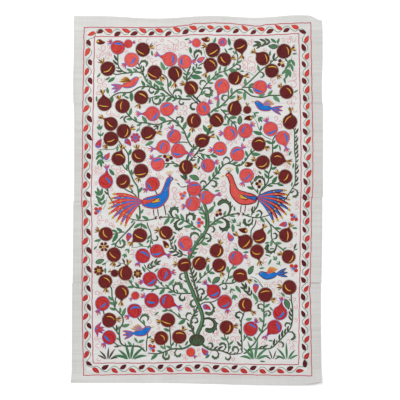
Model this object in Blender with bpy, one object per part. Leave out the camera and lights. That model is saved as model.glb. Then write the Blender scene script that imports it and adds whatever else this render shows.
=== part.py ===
"""An embroidered suzani lying flat, about 1.50 m wide and 2.20 m long.

Its ground is four loom widths of handwoven cloth, sewn edge to edge across the length. Each is one solid,
with the outline, the soft ripples, the storage creases and the turned hem of the real cloth.
Metres, +Z up. The cloth lies on z = 0 with its upper end towards +Y, centred on the origin.
"""

import math

import bmesh
import bpy
from mathutils import Vector

# Driving dimensions
WIDTH = 1.492
LENGTH = 2.202
CLOTH_THICKNESS = 0.0020
HEM_WIDTH = 0.012
HEM_EXTRA = 0.0006
SEAM_GAP = 0.0003
GRID_STEP = 0.040
SHARP_DEGREES = 40.0
CREASE_HALF_WIDTH = 0.014
CREASE_HEIGHT = 0.0022
MIDDLE_SEAM_TILT = 0.026
TILT_REACH = 0.25
OUTLINE_CENTRE = Vector((-0.0077, -0.0065))

# The four widths of cloth: name, share of the length at the upper and the lower seam, sideways shift
PANELS = (
    ("panel_top", 0.000, 0.238, 0.0000),
    ("panel_upper", 0.238, 0.500, 0.0020),
    ("panel_lower", 0.500, 0.727, -0.0020),
    ("panel_bottom", 0.727, 1.000, -0.0045),
)

# Where each edge swings out of true: edge, share along it, reach as a share, distance outwards.
# Shares run from the left, or from the top.
EDGE_WAVES = (
    ("top", 0.33, 0.24, -0.016),
    ("top", 0.73, 0.17, -0.011),
    ("top", 0.90, 0.12, 0.003),
    ("top", 1.00, 0.055, -0.028),
    ("bottom", 0.90, 0.60, 0.016),
    ("bottom", 1.00, 0.055, -0.016),
    ("left", 0.19, 0.10, 0.005),
    ("left", 0.95, 0.60, 0.007),
    ("left", 1.00, 0.04, 0.006),
    ("right", 0.19, 0.08, -0.005),
    ("right", 0.80, 0.25, -0.006),
    ("right", 0.00, 0.03, -0.004),
)

# Soft ridges in the cloth: centre x, centre y, direction in degrees, half length, half width, height
RIPPLES = (
    (-0.600, 0.880, 84.0, 0.300, 0.055, 0.0060),
    (-0.040, 0.960, 97.0, 0.230, 0.060, 0.0055),
    (0.560, 0.900, 78.0, 0.280, 0.055, 0.0060),
    (0.320, 0.760, 62.0, 0.260, 0.050, 0.0035),
    (-0.330, 0.620, 112.0, 0.260, 0.055, 0.0040),
    (-0.660, 0.300, 90.0, 0.330, 0.045, 0.0050),
    (0.665, 0.180, 88.0, 0.360, 0.042, 0.0050),
    (0.340, 0.130, 75.0, 0.240, 0.055, 0.0035),
    (-0.260, 0.160, 60.0, 0.220, 0.050, 0.0030),
    (-0.620, -0.520, 96.0, 0.330, 0.050, 0.0055),
    (-0.170, -0.620, 118.0, 0.240, 0.055, 0.0035),
    (0.400, -0.480, 104.0, 0.260, 0.055, 0.0040),
    (0.640, -0.780, 86.0, 0.260, 0.048, 0.0055),
    (-0.330, -0.960, 82.0, 0.180, 0.050, 0.0045),
    (0.210, -0.980, 95.0, 0.170, 0.055, 0.0045),
)

# Sharp creases from storage: panel, share of the width, side of the panel that it runs in from
CREASES = (
    ("panel_top", 0.194, "top"),
    ("panel_top", 0.485, "top"),
    ("panel_top", 0.777, "top"),
    ("panel_bottom", 0.280, "bottom"),
    ("panel_bottom", 0.520, "bottom"),
    ("panel_bottom", 0.735, "bottom"),
)
CREASE_FADE = 0.42

# The lower right corner curls up, and pulls its edge with it
CURL_CORNER = Vector((0.749, -1.100))
CURL_REACH = 0.085
CURL_HEIGHT = 0.013


def bump(distance, reach):
    """A soft hump: 1 at distance 0, falling to 0 at reach and staying there."""
    if abs(distance) >= reach:
        return 0.0
    return 0.5 + 0.5 * math.cos(math.pi * distance / reach)


def edge_swing(edge, share):
    """How far an edge lies outside its straight line, at a share of the way along it."""
    return sum(out * bump(share - centre, reach) for name, centre, reach, out in EDGE_WAVES if name == edge)


def place(across, down, shift):
    """The point of the lying cloth at a share of its width and a share of its length from the top."""
    left = -WIDTH / 2 - edge_swing("left", down) + shift
    right = WIDTH / 2 + edge_swing("right", down) + shift
    first_seam = PANELS[0][2]
    last_seam = PANELS[-1][1]
    height = LENGTH / 2 - LENGTH * down
    height += edge_swing("top", across) * max(0.0, 1.0 - down / first_seam)
    height -= edge_swing("bottom", across) * max(0.0, (down - last_seam) / (1.0 - last_seam))
    height += MIDDLE_SEAM_TILT * (across - 0.5) * bump(down - 0.5, TILT_REACH)
    return Vector((left + (right - left) * across, height)) - OUTLINE_CENTRE


def ripple_height(point):
    """Height of the soft ridges under a point."""
    total = 0.0
    for x, y, direction, half_length, half_width, height in RIPPLES:
        along = Vector((math.cos(math.radians(direction)), math.sin(math.radians(direction))))
        offset = point - Vector((x, y))
        run = offset.dot(along)
        side = offset.x * along.y - offset.y * along.x
        total += height * bump(run, half_length) * bump(side, half_width)
    return total


def crease_height(panel, across, within):
    """Height of the storage creases. within is the share of the panel's own depth, from its upper seam."""
    total = 0.0
    for name, share, side in CREASES:
        if name != panel:
            continue
        depth = within if side == "top" else 1.0 - within
        total += CREASE_HEIGHT * bump((across - share) * WIDTH, CREASE_HALF_WIDTH) * bump(depth, CREASE_FADE)
    return total


def curl_height(point):
    """Height of the curled corner."""
    return CURL_HEIGHT * bump((point - CURL_CORNER).length, CURL_REACH)


def even_lines(start, end, step):
    """Shares from start to end, about a step apart."""
    count = max(2, round((end - start) / step))
    return [start + (end - start) * i / count for i in range(count + 1)]


def column_shares(panel):
    """Shares across the width that get a grid line: even ones, the hems' inner edges and the creases."""
    hem = HEM_WIDTH / WIDTH
    side = CREASE_HALF_WIDTH / WIDTH
    creases = [share + offset for name, share, _ in CREASES if name == panel for offset in (-side, 0.0, side)]
    even = even_lines(hem, 1.0 - hem, GRID_STEP / WIDTH)
    clear = [share for share in even[1:-1] if all(abs(share - crease) > side * 0.8 for crease in creases)]
    return sorted([0.0, hem, 1.0 - hem, 1.0, *clear, *creases])


def row_shares(upper, lower):
    """Shares down the length that get a grid line, from one seam to the next."""
    hem = HEM_WIDTH / LENGTH
    gap = SEAM_GAP / 2 / LENGTH
    start = [0.0, hem] if upper == 0.0 else [upper + gap]
    end = [1.0 - hem, 1.0] if lower == 1.0 else [lower - gap]
    inner = even_lines(start[-1], end[0], GRID_STEP / LENGTH)
    return start[:-1] + inner + end[1:]


def in_hem(across, down):
    """Whether a grid point is on the outer edge of the turned hem."""
    return across in (0.0, 1.0) or down in (0.0, 1.0)


def lay_grid(mesh_builder, lift, name, upper, lower, shift, centre):
    """The underside of one width of cloth, as quads over the folds. Each point keeps its cloth's thickness."""
    columns = column_shares(name)
    grid = []
    for down in row_shares(upper, lower):
        within = (down - upper) / (lower - upper)
        line = []
        for across in columns:
            point = place(across, down, shift)
            base = ripple_height(point) + crease_height(name, across, within) + curl_height(point)
            vert = mesh_builder.verts.new((point.x - centre.x, point.y - centre.y, base))
            vert[lift] = CLOTH_THICKNESS + (HEM_EXTRA if in_hem(across, down) else 0.0)
            line.append(vert)
        grid.append(line)
    for near, far in zip(grid, grid[1:]):
        for i in range(len(columns) - 1):
            mesh_builder.faces.new((near[i], near[i + 1], far[i + 1], far[i]))


def build_panel(name, upper, lower, shift, material):
    """One width of cloth: a grid laid over the folds and pulled straight up to its thickness."""
    centre = place(0.5, (upper + lower) / 2, shift)
    mesh_builder = bmesh.new()
    lift = mesh_builder.verts.layers.float.new("lift")
    lay_grid(mesh_builder, lift, name, upper, lower, shift, centre)
    pulled = bmesh.ops.extrude_face_region(mesh_builder, geom=list(mesh_builder.faces))
    for item in pulled["geom"]:
        if isinstance(item, bmesh.types.BMVert):
            item.co.z += item[lift]
    bmesh.ops.recalc_face_normals(mesh_builder, faces=list(mesh_builder.faces))
    mesh = bpy.data.meshes.new(name)
    mesh_builder.to_mesh(mesh)
    mesh_builder.free()
    mesh.materials.append(material)
    mesh.shade_smooth()
    mesh.set_sharp_from_angle(angle=math.radians(SHARP_DEGREES))
    panel = bpy.data.objects.new(name, mesh)
    panel.location = (centre.x, centre.y, 0.0)
    bpy.context.scene.collection.objects.link(panel)
    return panel


def cloth_material():
    """Undyed handwoven silk and cotton."""
    material = bpy.data.materials.new("ground_cloth")
    material.use_nodes = True
    shader = material.node_tree.nodes["Principled BSDF"]
    shader.inputs["Base Color"].default_value = (0.70, 0.69, 0.66, 1.0)
    shader.inputs["Roughness"].default_value = 0.85
    shader.inputs["Metallic"].default_value = 0.0
    return material


def main():
    for old in list(bpy.data.objects):
        bpy.data.objects.remove(old)
    material = cloth_material()
    suzani = bpy.data.objects.new("suzani", None)
    bpy.context.scene.collection.objects.link(suzani)
    for name, upper, lower, shift in PANELS:
        build_panel(name, upper, lower, shift, material).parent = suzani


main()
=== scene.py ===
"""The looks of an embroidered suzani that lies flat, about 1.50 m wide and 2.20 m long.

The four widths of cloth stand in their own fine sheets. The embroidery is worked shape by shape: each is a
raised pad of chain stitch rows, and the pads of one thread colour make one piece. Positions on the cloth are
complex numbers, x + y j, in metres in the row frame.
"""

import heapq
import math

import bpy
import numpy as np
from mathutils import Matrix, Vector


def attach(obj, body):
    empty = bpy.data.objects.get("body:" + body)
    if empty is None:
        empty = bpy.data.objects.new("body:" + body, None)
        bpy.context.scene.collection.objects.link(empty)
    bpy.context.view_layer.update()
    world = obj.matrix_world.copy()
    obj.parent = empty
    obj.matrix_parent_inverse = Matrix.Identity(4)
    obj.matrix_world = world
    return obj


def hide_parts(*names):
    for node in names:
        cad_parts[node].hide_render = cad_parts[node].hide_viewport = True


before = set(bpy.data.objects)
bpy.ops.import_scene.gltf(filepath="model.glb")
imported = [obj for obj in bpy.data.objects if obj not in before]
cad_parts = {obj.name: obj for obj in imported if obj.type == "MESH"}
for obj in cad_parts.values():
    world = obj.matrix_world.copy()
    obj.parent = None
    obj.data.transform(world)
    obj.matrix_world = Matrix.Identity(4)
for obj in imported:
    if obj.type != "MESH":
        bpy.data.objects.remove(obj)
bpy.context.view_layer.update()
chance = np.random.default_rng(36)

# The cloth, as in the part's source
WIDTH = 1.492
LENGTH = 2.202
CLOTH_THICKNESS = 0.0020
HEM_WIDTH = 0.012
HEM_EXTRA = 0.0006
SEAM_GAP = 0.0003
CREASE_HALF_WIDTH = 0.014
CREASE_HEIGHT = 0.0022
CREASE_FADE = 0.42
# How far from the middle of its panel a crease still shows, as a share of the panel's depth
CREASE_END = 0.56
MIDDLE_SEAM_TILT = 0.026
TILT_REACH = 0.25
OUTLINE_CENTRE = -0.0077 - 0.0065j
CURL_CORNER = 0.749 - 1.100j
CURL_REACH = 0.085
CURL_HEIGHT = 0.013

# Name, share of the length at the upper and the lower seam, sideways shift
PANELS = (
    ("panel_top", 0.000, 0.238, 0.0000),
    ("panel_upper", 0.238, 0.500, 0.0020),
    ("panel_lower", 0.500, 0.727, -0.0020),
    ("panel_bottom", 0.727, 1.000, -0.0045),
)
SEAM_SHARES = [lower for _, _, lower, _ in PANELS[:-1]]

# Edge, share along it, reach as a share, distance outwards
EDGE_WAVES = (
    ("top", 0.33, 0.24, -0.016),
    ("top", 0.73, 0.17, -0.011),
    ("top", 0.90, 0.12, 0.003),
    ("top", 1.00, 0.055, -0.028),
    ("bottom", 0.90, 0.60, 0.016),
    ("bottom", 1.00, 0.055, -0.016),
    ("left", 0.19, 0.10, 0.005),
    ("left", 0.95, 0.60, 0.007),
    ("left", 1.00, 0.04, 0.006),
    ("right", 0.19, 0.08, -0.005),
    ("right", 0.80, 0.25, -0.006),
    ("right", 0.00, 0.03, -0.004),
)

# Centre x, centre y, direction in degrees, half length, half width, height
RIPPLES = (
    (-0.600, 0.880, 84.0, 0.300, 0.055, 0.0060),
    (-0.040, 0.960, 97.0, 0.230, 0.060, 0.0055),
    (0.560, 0.900, 78.0, 0.280, 0.055, 0.0060),
    (0.320, 0.760, 62.0, 0.260, 0.050, 0.0035),
    (-0.330, 0.620, 112.0, 0.260, 0.055, 0.0040),
    (-0.660, 0.300, 90.0, 0.330, 0.045, 0.0050),
    (0.665, 0.180, 88.0, 0.360, 0.042, 0.0050),
    (0.340, 0.130, 75.0, 0.240, 0.055, 0.0035),
    (-0.260, 0.160, 60.0, 0.220, 0.050, 0.0030),
    (-0.620, -0.520, 96.0, 0.330, 0.050, 0.0055),
    (-0.170, -0.620, 118.0, 0.240, 0.055, 0.0035),
    (0.400, -0.480, 104.0, 0.260, 0.055, 0.0040),
    (0.640, -0.780, 86.0, 0.260, 0.048, 0.0055),
    (-0.330, -0.960, 82.0, 0.180, 0.050, 0.0045),
    (0.210, -0.980, 95.0, 0.170, 0.055, 0.0045),
)

# Share of the width, panel's upper and lower share of the length, side that the crease runs in from
CREASES = (
    (0.194, 0.000, 0.238, "top"),
    (0.485, 0.000, 0.238, "top"),
    (0.777, 0.000, 0.238, "top"),
    (0.280, 0.727, 1.000, "bottom"),
    (0.520, 0.727, 1.000, "bottom"),
    (0.735, 0.727, 1.000, "bottom"),
)

# Small puckers that the stitching draws in the cloth: wave length, direction in degrees, height, phase
PUCKERS = (
    (0.061, 21.0, 0.00016, 0.4),
    (0.047, 117.0, 0.00014, 2.1),
    (0.083, 73.0, 0.00018, 5.0),
    (0.036, 158.0, 0.00010, 1.3),
)
SEAM_DIP = 0.0007
SEAM_ROLL = 0.0045


def bump(distance, reach):
    """A soft hump: 1 at distance 0, falling to 0 at reach and staying there."""
    return 0.5 + 0.5 * np.cos(np.pi * np.clip(np.abs(distance) / reach, 0.0, 1.0))


def turned(degrees):
    """The unit direction at an angle."""
    return np.exp(1j * np.radians(degrees))


def edge_swing(edge, share):
    """How far an edge lies outside its straight line, at shares of the way along it."""
    return sum(out * bump(share - centre, reach) for name, centre, reach, out in EDGE_WAVES if name == edge)


def place(across, down, shift):
    """Points of the lying cloth at shares of its width and of its length from the top."""
    left = -WIDTH / 2 - edge_swing("left", down) + shift
    right = WIDTH / 2 + edge_swing("right", down) + shift
    first_seam, last_seam = SEAM_SHARES[0], SEAM_SHARES[-1]
    height = LENGTH / 2 - LENGTH * down
    height = height + edge_swing("top", across) * np.maximum(0.0, 1.0 - down / first_seam)
    height = height - edge_swing("bottom", across) * np.maximum(0.0, (down - last_seam) / (1.0 - last_seam))
    height = height + MIDDLE_SEAM_TILT * (across - 0.5) * bump(down - 0.5, TILT_REACH)
    return left + (right - left) * across + 1j * height - OUTLINE_CENTRE


def seam_distance(points):
    """How far points lie from the nearest seam between two widths of cloth."""
    across = (points + OUTLINE_CENTRE).real / WIDTH + 0.5
    nearest = np.full(points.shape, 1.0)
    for share in SEAM_SHARES:
        tilt = MIDDLE_SEAM_TILT * (across - 0.5) * bump(share - 0.5, TILT_REACH)
        level = LENGTH / 2 - LENGTH * share + tilt - OUTLINE_CENTRE.imag
        nearest = np.minimum(nearest, np.abs(points.imag - level))
    return nearest


def fold_height(points):
    """Height of the cloth's underside: its ripples, storage creases and curled corner."""
    total = np.zeros(points.shape)
    for x, y, direction, half_length, half_width, height in RIPPLES:
        offset = (points - complex(x, y)) / turned(direction)
        total += height * bump(offset.real, half_length) * bump(offset.imag, half_width)
    own = points + OUTLINE_CENTRE
    across, down = own.real / WIDTH + 0.5, 0.5 - own.imag / LENGTH
    for share, upper, lower, side in CREASES:
        within = (down - upper) / (lower - upper)
        depth = within if side == "top" else 1.0 - within
        depth = np.where(np.abs(within - 0.5) > CREASE_END, 1.0, np.maximum(depth, 0.0))
        total += CREASE_HEIGHT * bump((across - share) * WIDTH, CREASE_HALF_WIDTH) * bump(depth, CREASE_FADE)
    return total + CURL_HEIGHT * bump(np.abs(points - CURL_CORNER), CURL_REACH)


def ground(points):
    """Height of the cloth's upper face."""
    total = fold_height(points) + CLOTH_THICKNESS
    for wave_length, direction, height, phase in PUCKERS:
        total += height * np.sin(2 * np.pi * (points / turned(direction)).real / wave_length + phase)
    return total - SEAM_DIP * bump(seam_distance(points), SEAM_ROLL)


# Meshes from arrays


def grid_faces(rows, columns, closed=False):
    """Quads over rows by columns of points, facing up where columns run to the rows' right."""
    near = np.arange(rows if closed else rows - 1)[:, None] * columns
    far = (near + columns) % (rows * columns)
    column = np.arange(columns - 1)[None, :]
    return np.stack([near + column, near + column + 1, far + column + 1, far + column], -1).reshape(-1, 4)


def underside(rows, columns, closed=False):
    """Quads under a grid of points, from its first column straight to its last."""
    near = np.arange(rows if closed else rows - 1)
    far = (near + 1) % rows
    return np.stack([near, far, far, near], -1) * columns + np.array([0, 0, columns - 1, columns - 1])


def make_mesh(name, points, quads, triangles, stitch=None, tones_with_shade=None):
    """An object from arrays, with a stitch map corner by corner and a tone for each point."""
    mesh = bpy.data.meshes.new(name)
    loops = np.concatenate([quads.ravel(), triangles.ravel()]).astype(np.int32)
    sizes = np.concatenate([np.full(len(quads), 4), np.full(len(triangles), 3)])
    mesh.vertices.add(len(points))
    mesh.vertices.foreach_set("co", points.astype(np.float32).ravel())
    mesh.loops.add(len(loops))
    mesh.loops.foreach_set("vertex_index", loops)
    mesh.polygons.add(len(sizes))
    mesh.polygons.foreach_set("loop_start", (np.cumsum(sizes) - sizes).astype(np.int32))
    mesh.polygons.foreach_set("use_smooth", np.ones(len(sizes), bool))
    if stitch is not None:
        mesh.uv_layers.new(name="stitch").data.foreach_set("uv", stitch.astype(np.float32).ravel())
    if tones_with_shade is not None:
        # The tone carries each point's dye lot together with its painted rim shade.
        attribute = mesh.attributes.new("tone", "FLOAT", "POINT")
        attribute.data.foreach_set("value", tones_with_shade.astype(np.float32))
    mesh.update(calc_edges=True)
    mesh.validate()
    made = bpy.data.objects.new(name, mesh)
    bpy.context.scene.collection.objects.link(made)
    return made


# Sheets of cloth

# How far apart the sheets' points are, and where the first ones lie from a hemmed and from a sewn edge
ACROSS_STEP = 0.010
DOWN_STEP = 0.015
HEM_LINES = (0.0, 0.0010, 0.0030, HEM_WIDTH - 0.0015, HEM_WIDTH)
SEAM_LINES = (0.0, 0.0012, 0.0030, SEAM_ROLL)
HEM_PROFILE = (-0.9, 0.4, 1.0, 1.0, 0.0)
FRAY = 0.0005


def lines_between(start, end, near_start, near_end, length, step):
    """Shares from start to end: close ones beside each end, then even steps."""
    first = [start + distance / length for distance in near_start]
    last = [end - distance / length for distance in reversed(near_end)]
    count = max(2, round((last[0] - first[-1]) * length / step))
    return np.array([*first[:-1], *np.linspace(first[-1], last[0], count + 1), *last[1:]])


def hem_height(across, down):
    """What the turned hem adds to the cloth's thickness, with a rounded outer edge."""
    inwards = np.minimum(np.minimum(across, 1.0 - across) * WIDTH, np.minimum(down, 1.0 - down) * LENGTH)
    return HEM_EXTRA * np.interp(inwards, HEM_LINES, HEM_PROFILE)


def build_sheet(name, upper, lower, shift, material):
    """One width of cloth as a fine closed sheet over its solid's folds."""
    gap = SEAM_GAP / 2 / LENGTH
    above = HEM_LINES if upper == 0.0 else SEAM_LINES
    below = HEM_LINES if lower == 1.0 else SEAM_LINES
    across = lines_between(0.0, 1.0, HEM_LINES, HEM_LINES, WIDTH, ACROSS_STEP)[None, :]
    start, end = upper + gap * (upper > 0.0), lower - gap * (lower < 1.0)
    down = lines_between(start, end, above, below, LENGTH, DOWN_STEP)[:, None]
    points = place(across, down, shift)
    frayed = FRAY * np.sin(points.imag * 410.0 + 3.0 * np.sin(points.imag * 97.0))
    points = points + np.where(np.abs(across - 0.5) == 0.5, frayed, 0.0)
    rows, columns = points.shape
    base = fold_height(points)
    over = ground(points) + hem_height(across, down)
    flat = np.stack([np.broadcast_to(points.real, points.shape), points.imag], -1).reshape(-1, 2)
    vertices = np.concatenate([np.column_stack([flat, over.ravel()]), np.column_stack([flat, base.ravel()])])
    # Rows run down the cloth, so columns to the right are to the left of the rows' direction.
    upper_faces = grid_faces(rows, columns)[:, ::-1]
    lower_faces = grid_faces(rows, columns) + rows * columns
    rim = np.concatenate([
        np.arange(columns),
        np.arange(1, rows) * columns + columns - 1,
        (rows - 1) * columns + np.arange(columns - 2, -1, -1),
        np.arange(rows - 2, 0, -1) * columns,
    ])
    after = np.roll(rim, -1)
    walls = np.stack([rim, after, after + rows * columns, rim + rows * columns], -1)
    quads = np.concatenate([upper_faces, lower_faces, walls])
    sheet = make_mesh(name, vertices, quads, np.empty((0, 3), int))
    sheet.data.materials.append(material)
    return sheet


# Stitches

# A row's width and a link's length, how high a row's edges and its ridge stand, and how deep a rim sinks
ROW = 0.0040
LINK = 0.0042
PAD = 0.0006
RIDGE = 0.00045
SINK = 0.0004
# How far apart the points of a curve are
CURVE_STEP = 0.006


def along_line(line, closed=False):
    """Unit directions along a line of points."""
    if closed:
        steps = np.roll(line, -1) - np.roll(line, 1)
    else:
        steps = np.gradient(line)
    return steps / np.maximum(np.abs(steps), 1e-9)


def run_along(line):
    """How far along a line each of its points lies."""
    return np.concatenate([[0.0], np.cumsum(np.abs(np.diff(line)))])


def at_runs(line, run, at):
    """Points at some distances along a line."""
    return np.interp(at, run, line.real) + 1j * np.interp(at, run, line.imag)


def respaced(line, step):
    """The same line with its points an even step apart."""
    run = run_along(line)
    return at_runs(line, run, np.linspace(0.0, run[-1], max(4, round(run[-1] / step) + 1)))


def through(knots, step=CURVE_STEP):
    """A smooth curve through a few points."""
    knots = np.asarray(knots, complex)
    padded = np.concatenate([[2 * knots[0] - knots[1]], knots, [2 * knots[-1] - knots[-2]]])
    a, b, c, d = padded[:-3, None], padded[1:-2, None], padded[2:-1, None], padded[3:, None]
    t = np.linspace(0.0, 1.0, 25)[None, :-1]
    curve = 0.5 * (2 * b + (c - a) * t + (2 * a - 5 * b + 4 * c - d) * t**2 + (3 * b - a - 3 * c + d) * t**3)
    return respaced(np.append(curve.ravel(), knots[-1]), step)


def swing(start, heading, length, bend=0.0, power=1.0, count=10):
    """A line that leaves start at a heading and turns by bend, in radians, along its length."""
    share = (np.arange(count - 1) + 0.5) / (count - 1)
    steps = length / (count - 1) * np.exp(1j * (heading + bend * share**power))
    return start + np.concatenate([[0.0], np.cumsum(steps)])


class Stroke:
    """One shape before it is worked: a band of rows along a line, or rows round and round in an outline."""

    def __init__(self, thread, line, half_width=None, closed=False, tone=0.5, lift=0.0, painted_shade=0.45):
        """The painted shade setting is how much darker the rim is painted than the heart: painted shade, as
        on a rounded pad.
        """
        self.thread = thread
        self.line = np.asarray(line, complex)
        self.filled = half_width is None
        self.half_width = None if self.filled else np.broadcast_to(half_width, self.line.shape).astype(float)
        self.closed = closed
        self.tone = tone
        self.lift = lift
        self.painted_shade = painted_shade

    def moved(self, at, turn=1.0, mirrored=False):
        """The same shape elsewhere, perhaps mirrored left to right, then turned and made larger by turn."""
        line = at + turn * (-np.conj(self.line) if mirrored else self.line)
        half_width = None if self.filled else self.half_width * abs(turn)
        return Stroke(self.thread, line, half_width, self.closed, self.tone, self.lift, self.painted_shade)

    def cover(self):
        """Points spread over the shape, for seeing what it would lie on."""
        if self.filled:
            centre = self.line.mean()
            spokes = self.line - centre
            return np.concatenate([centre + spokes * share for share in (1.0, 0.75, 0.5, 0.25, 0.0)])
        side = 1j * along_line(self.line, self.closed) * self.half_width
        return np.concatenate([self.line + side * share for share in (-1.0, -0.5, 0.0, 0.5, 1.0)])


class Thread:
    """Everything worked in one colour of thread."""

    def __init__(self):
        self.kept = []
        self.size = 0

    def keep(self, points, lifts, tones_with_shade, quads, quad_stitch, triangles, triangle_stitch):
        """Adds a worked shape. The stitch maps hold a point for each corner of each face."""
        stitches = quad_stitch.reshape(-1, 2), triangle_stitch.reshape(-1, 2)
        self.kept.append((points, lifts, tones_with_shade, quads + self.size, triangles + self.size, *stitches))
        self.size += len(points)

    def work(self, stroke):
        if stroke.filled:
            self.work_rounds(stroke)
        elif stroke.closed:
            self.work_ring(stroke)
        else:
            self.work_band(stroke)

    def work_rounds(self, stroke):
        """Rows round and round from the middle of an outline to its rim, closed underneath."""
        centre = stroke.line.mean()
        spokes = stroke.line - centre
        if (np.conj(spokes) * np.roll(spokes, -1)).imag.sum() < 0:
            spokes = spokes[::-1]
        radius = np.abs(spokes).mean()
        rows = max(2, round(radius / ROW))
        count, columns = len(spokes), 2 * rows
        shares = np.linspace(0.0, 1.0, columns + 1)[1:]
        profile = row_profile(stroke, columns + 1)[1:]
        grid = centre + spokes[:, None] * shares[None, :]
        run = np.arange(count + 1)[:, None] / count * 2 * math.pi * radius * shares[None, :] / LINK
        rank = np.broadcast_to(shares[None, :] * rows, run.shape)
        near = np.arange(count) * columns
        far = np.roll(near, -1)
        middle, under = np.full(count, count * columns), np.full(count, count * columns + 1)
        fan = np.stack([middle, near, far], -1)
        base = np.stack([under, far + columns - 1, near + columns - 1], -1)
        self.keep(
            np.concatenate([grid.ravel(), [centre, centre]]),
            np.concatenate([np.tile(profile, count), [PAD + stroke.lift, rim_lift(stroke)]]),
            np.append(np.tile(tones_with_painted_shade(stroke, shares), count), tones_with_painted_shade(stroke, np.array([0.0, 1.0]))),
            grid_faces(count, columns, closed=True),
            grid_stitch(run, rank),
            np.concatenate([fan, base]),
            np.zeros((2 * count, 3, 2)),
        )

    def work_ring(self, stroke):
        """A band that closes on itself, as round a fruit."""
        grid, rank, profile, tones_with_shade = band_grid(stroke)
        count, columns = grid.shape
        run = run_along(np.append(stroke.line, stroke.line[0]))[:, None] / LINK * np.ones(columns)
        stitch = grid_stitch(run, np.broadcast_to(rank, run.shape))
        self.keep(
            grid.ravel(),
            np.tile(profile, count),
            np.tile(tones_with_shade, count),
            np.concatenate([grid_faces(count, columns, closed=True), underside(count, columns, closed=True)]),
            np.concatenate([stitch, np.zeros((count, 4, 2))]),
            np.empty((0, 3), int),
            np.empty((0, 3, 2)),
        )

    def work_band(self, stroke):
        """A band with a point at each end."""
        grid, rank, profile, tones_with_shade = band_grid(stroke)
        grid = grid[1:-1]
        count, columns = grid.shape
        run = run_along(stroke.line) / LINK
        inner = np.broadcast_to(run[1:-1, None], (count, columns))
        stitch = grid_stitch(inner, np.broadcast_to(rank, inner.shape))
        start, end, last = count * columns, count * columns + 1, (count - 1) * columns
        column = np.arange(columns - 1)
        first_fan = np.stack([np.full(columns - 1, start), column + 1, column], -1)
        last_fan = np.stack([np.full(columns - 1, end), last + column, last + column + 1], -1)
        caps = np.array([[start, 0, columns - 1], [end, last + columns - 1, last]])
        middle = (columns - 1) / 4
        first_map = fan_stitch(run[0], run[1], rank[1:], rank[:-1], middle)
        last_map = fan_stitch(run[-1], run[-2], rank[:-1], rank[1:], middle)
        self.keep(
            np.concatenate([grid.ravel(), [stroke.line[0], stroke.line[-1]]]),
            np.append(np.tile(profile, count), [rim_lift(stroke)] * 2),
            np.append(np.tile(tones_with_shade, count), tones_with_painted_shade(stroke, np.ones(2))),
            np.concatenate([grid_faces(count, columns), underside(count, columns)]),
            np.concatenate([stitch, np.zeros((count - 1, 4, 2))]),
            np.concatenate([first_fan, last_fan, caps]),
            np.concatenate([first_map, last_map, np.zeros((2, 3, 2))]),
        )

    def finished(self, name, material):
        """The thread's piece, laid on the cloth."""
        flat, lifts, tones_with_shade, quads, triangles, *stitches = (np.concatenate(parts) for parts in zip(*self.kept))
        points = np.column_stack([flat.real, flat.imag, ground(flat) + lifts])
        piece = make_mesh(name, points, quads, triangles, np.concatenate(stitches), tones_with_shade)
        piece.data.materials.append(material)
        return piece


def rim_lift(stroke):
    """How high a stroke's rim lies: just in the cloth, whatever the stroke lies over."""
    return min(stroke.lift, 0.0) - SINK


def tones_with_painted_shade(stroke, share):
    """The tone of a stroke's points, with painted shade: brighter at its heart than at its rim. share runs
    from heart to rim.
    """
    return stroke.tone + stroke.painted_shade * (0.5 - share)


def row_profile(stroke, count):
    """Heights across a stroke's rows, low at each row's edges and high in its middle, with sunk rims."""
    profile = np.where(np.arange(count) % 2 == 1, PAD + RIDGE, PAD) + stroke.lift
    profile[0] = profile[-1] = rim_lift(stroke)
    return profile


def band_grid(stroke):
    """Points across a band from left to right, with their places in the rows, heights and tones, the tones
    darker at the rim by painted shade.
    """
    rows = max(1, round(2 * stroke.half_width.max() / ROW))
    spread = np.linspace(-1.0, 1.0, 2 * rows + 1)
    right = -1j * along_line(stroke.line, stroke.closed) * stroke.half_width
    grid = stroke.line[:, None] + right[:, None] * spread[None, :]
    return grid, (spread + 1.0) / 2 * rows, row_profile(stroke, len(spread)), tones_with_painted_shade(stroke, np.abs(spread))


def grid_stitch(run, rank):
    """The stitch map of a grid's quads: stitches along, rows across."""
    stitch = np.stack([run, rank], -1)
    near, far = stitch[:-1], stitch[1:]
    return np.stack([near[:, :-1], near[:, 1:], far[:, 1:], far[:, :-1]], -2).reshape(-1, 4, 2)


def fan_stitch(tip, row, first, second, middle):
    """The stitch map of the triangles from a band's tip to its nearest row."""
    corners = np.empty((len(first), 3, 2))
    corners[:, 0] = tip, middle
    corners[:, 1:, 0] = row
    corners[:, 1, 1] = first
    corners[:, 2, 1] = second
    return corners


# What is worked where

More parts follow.
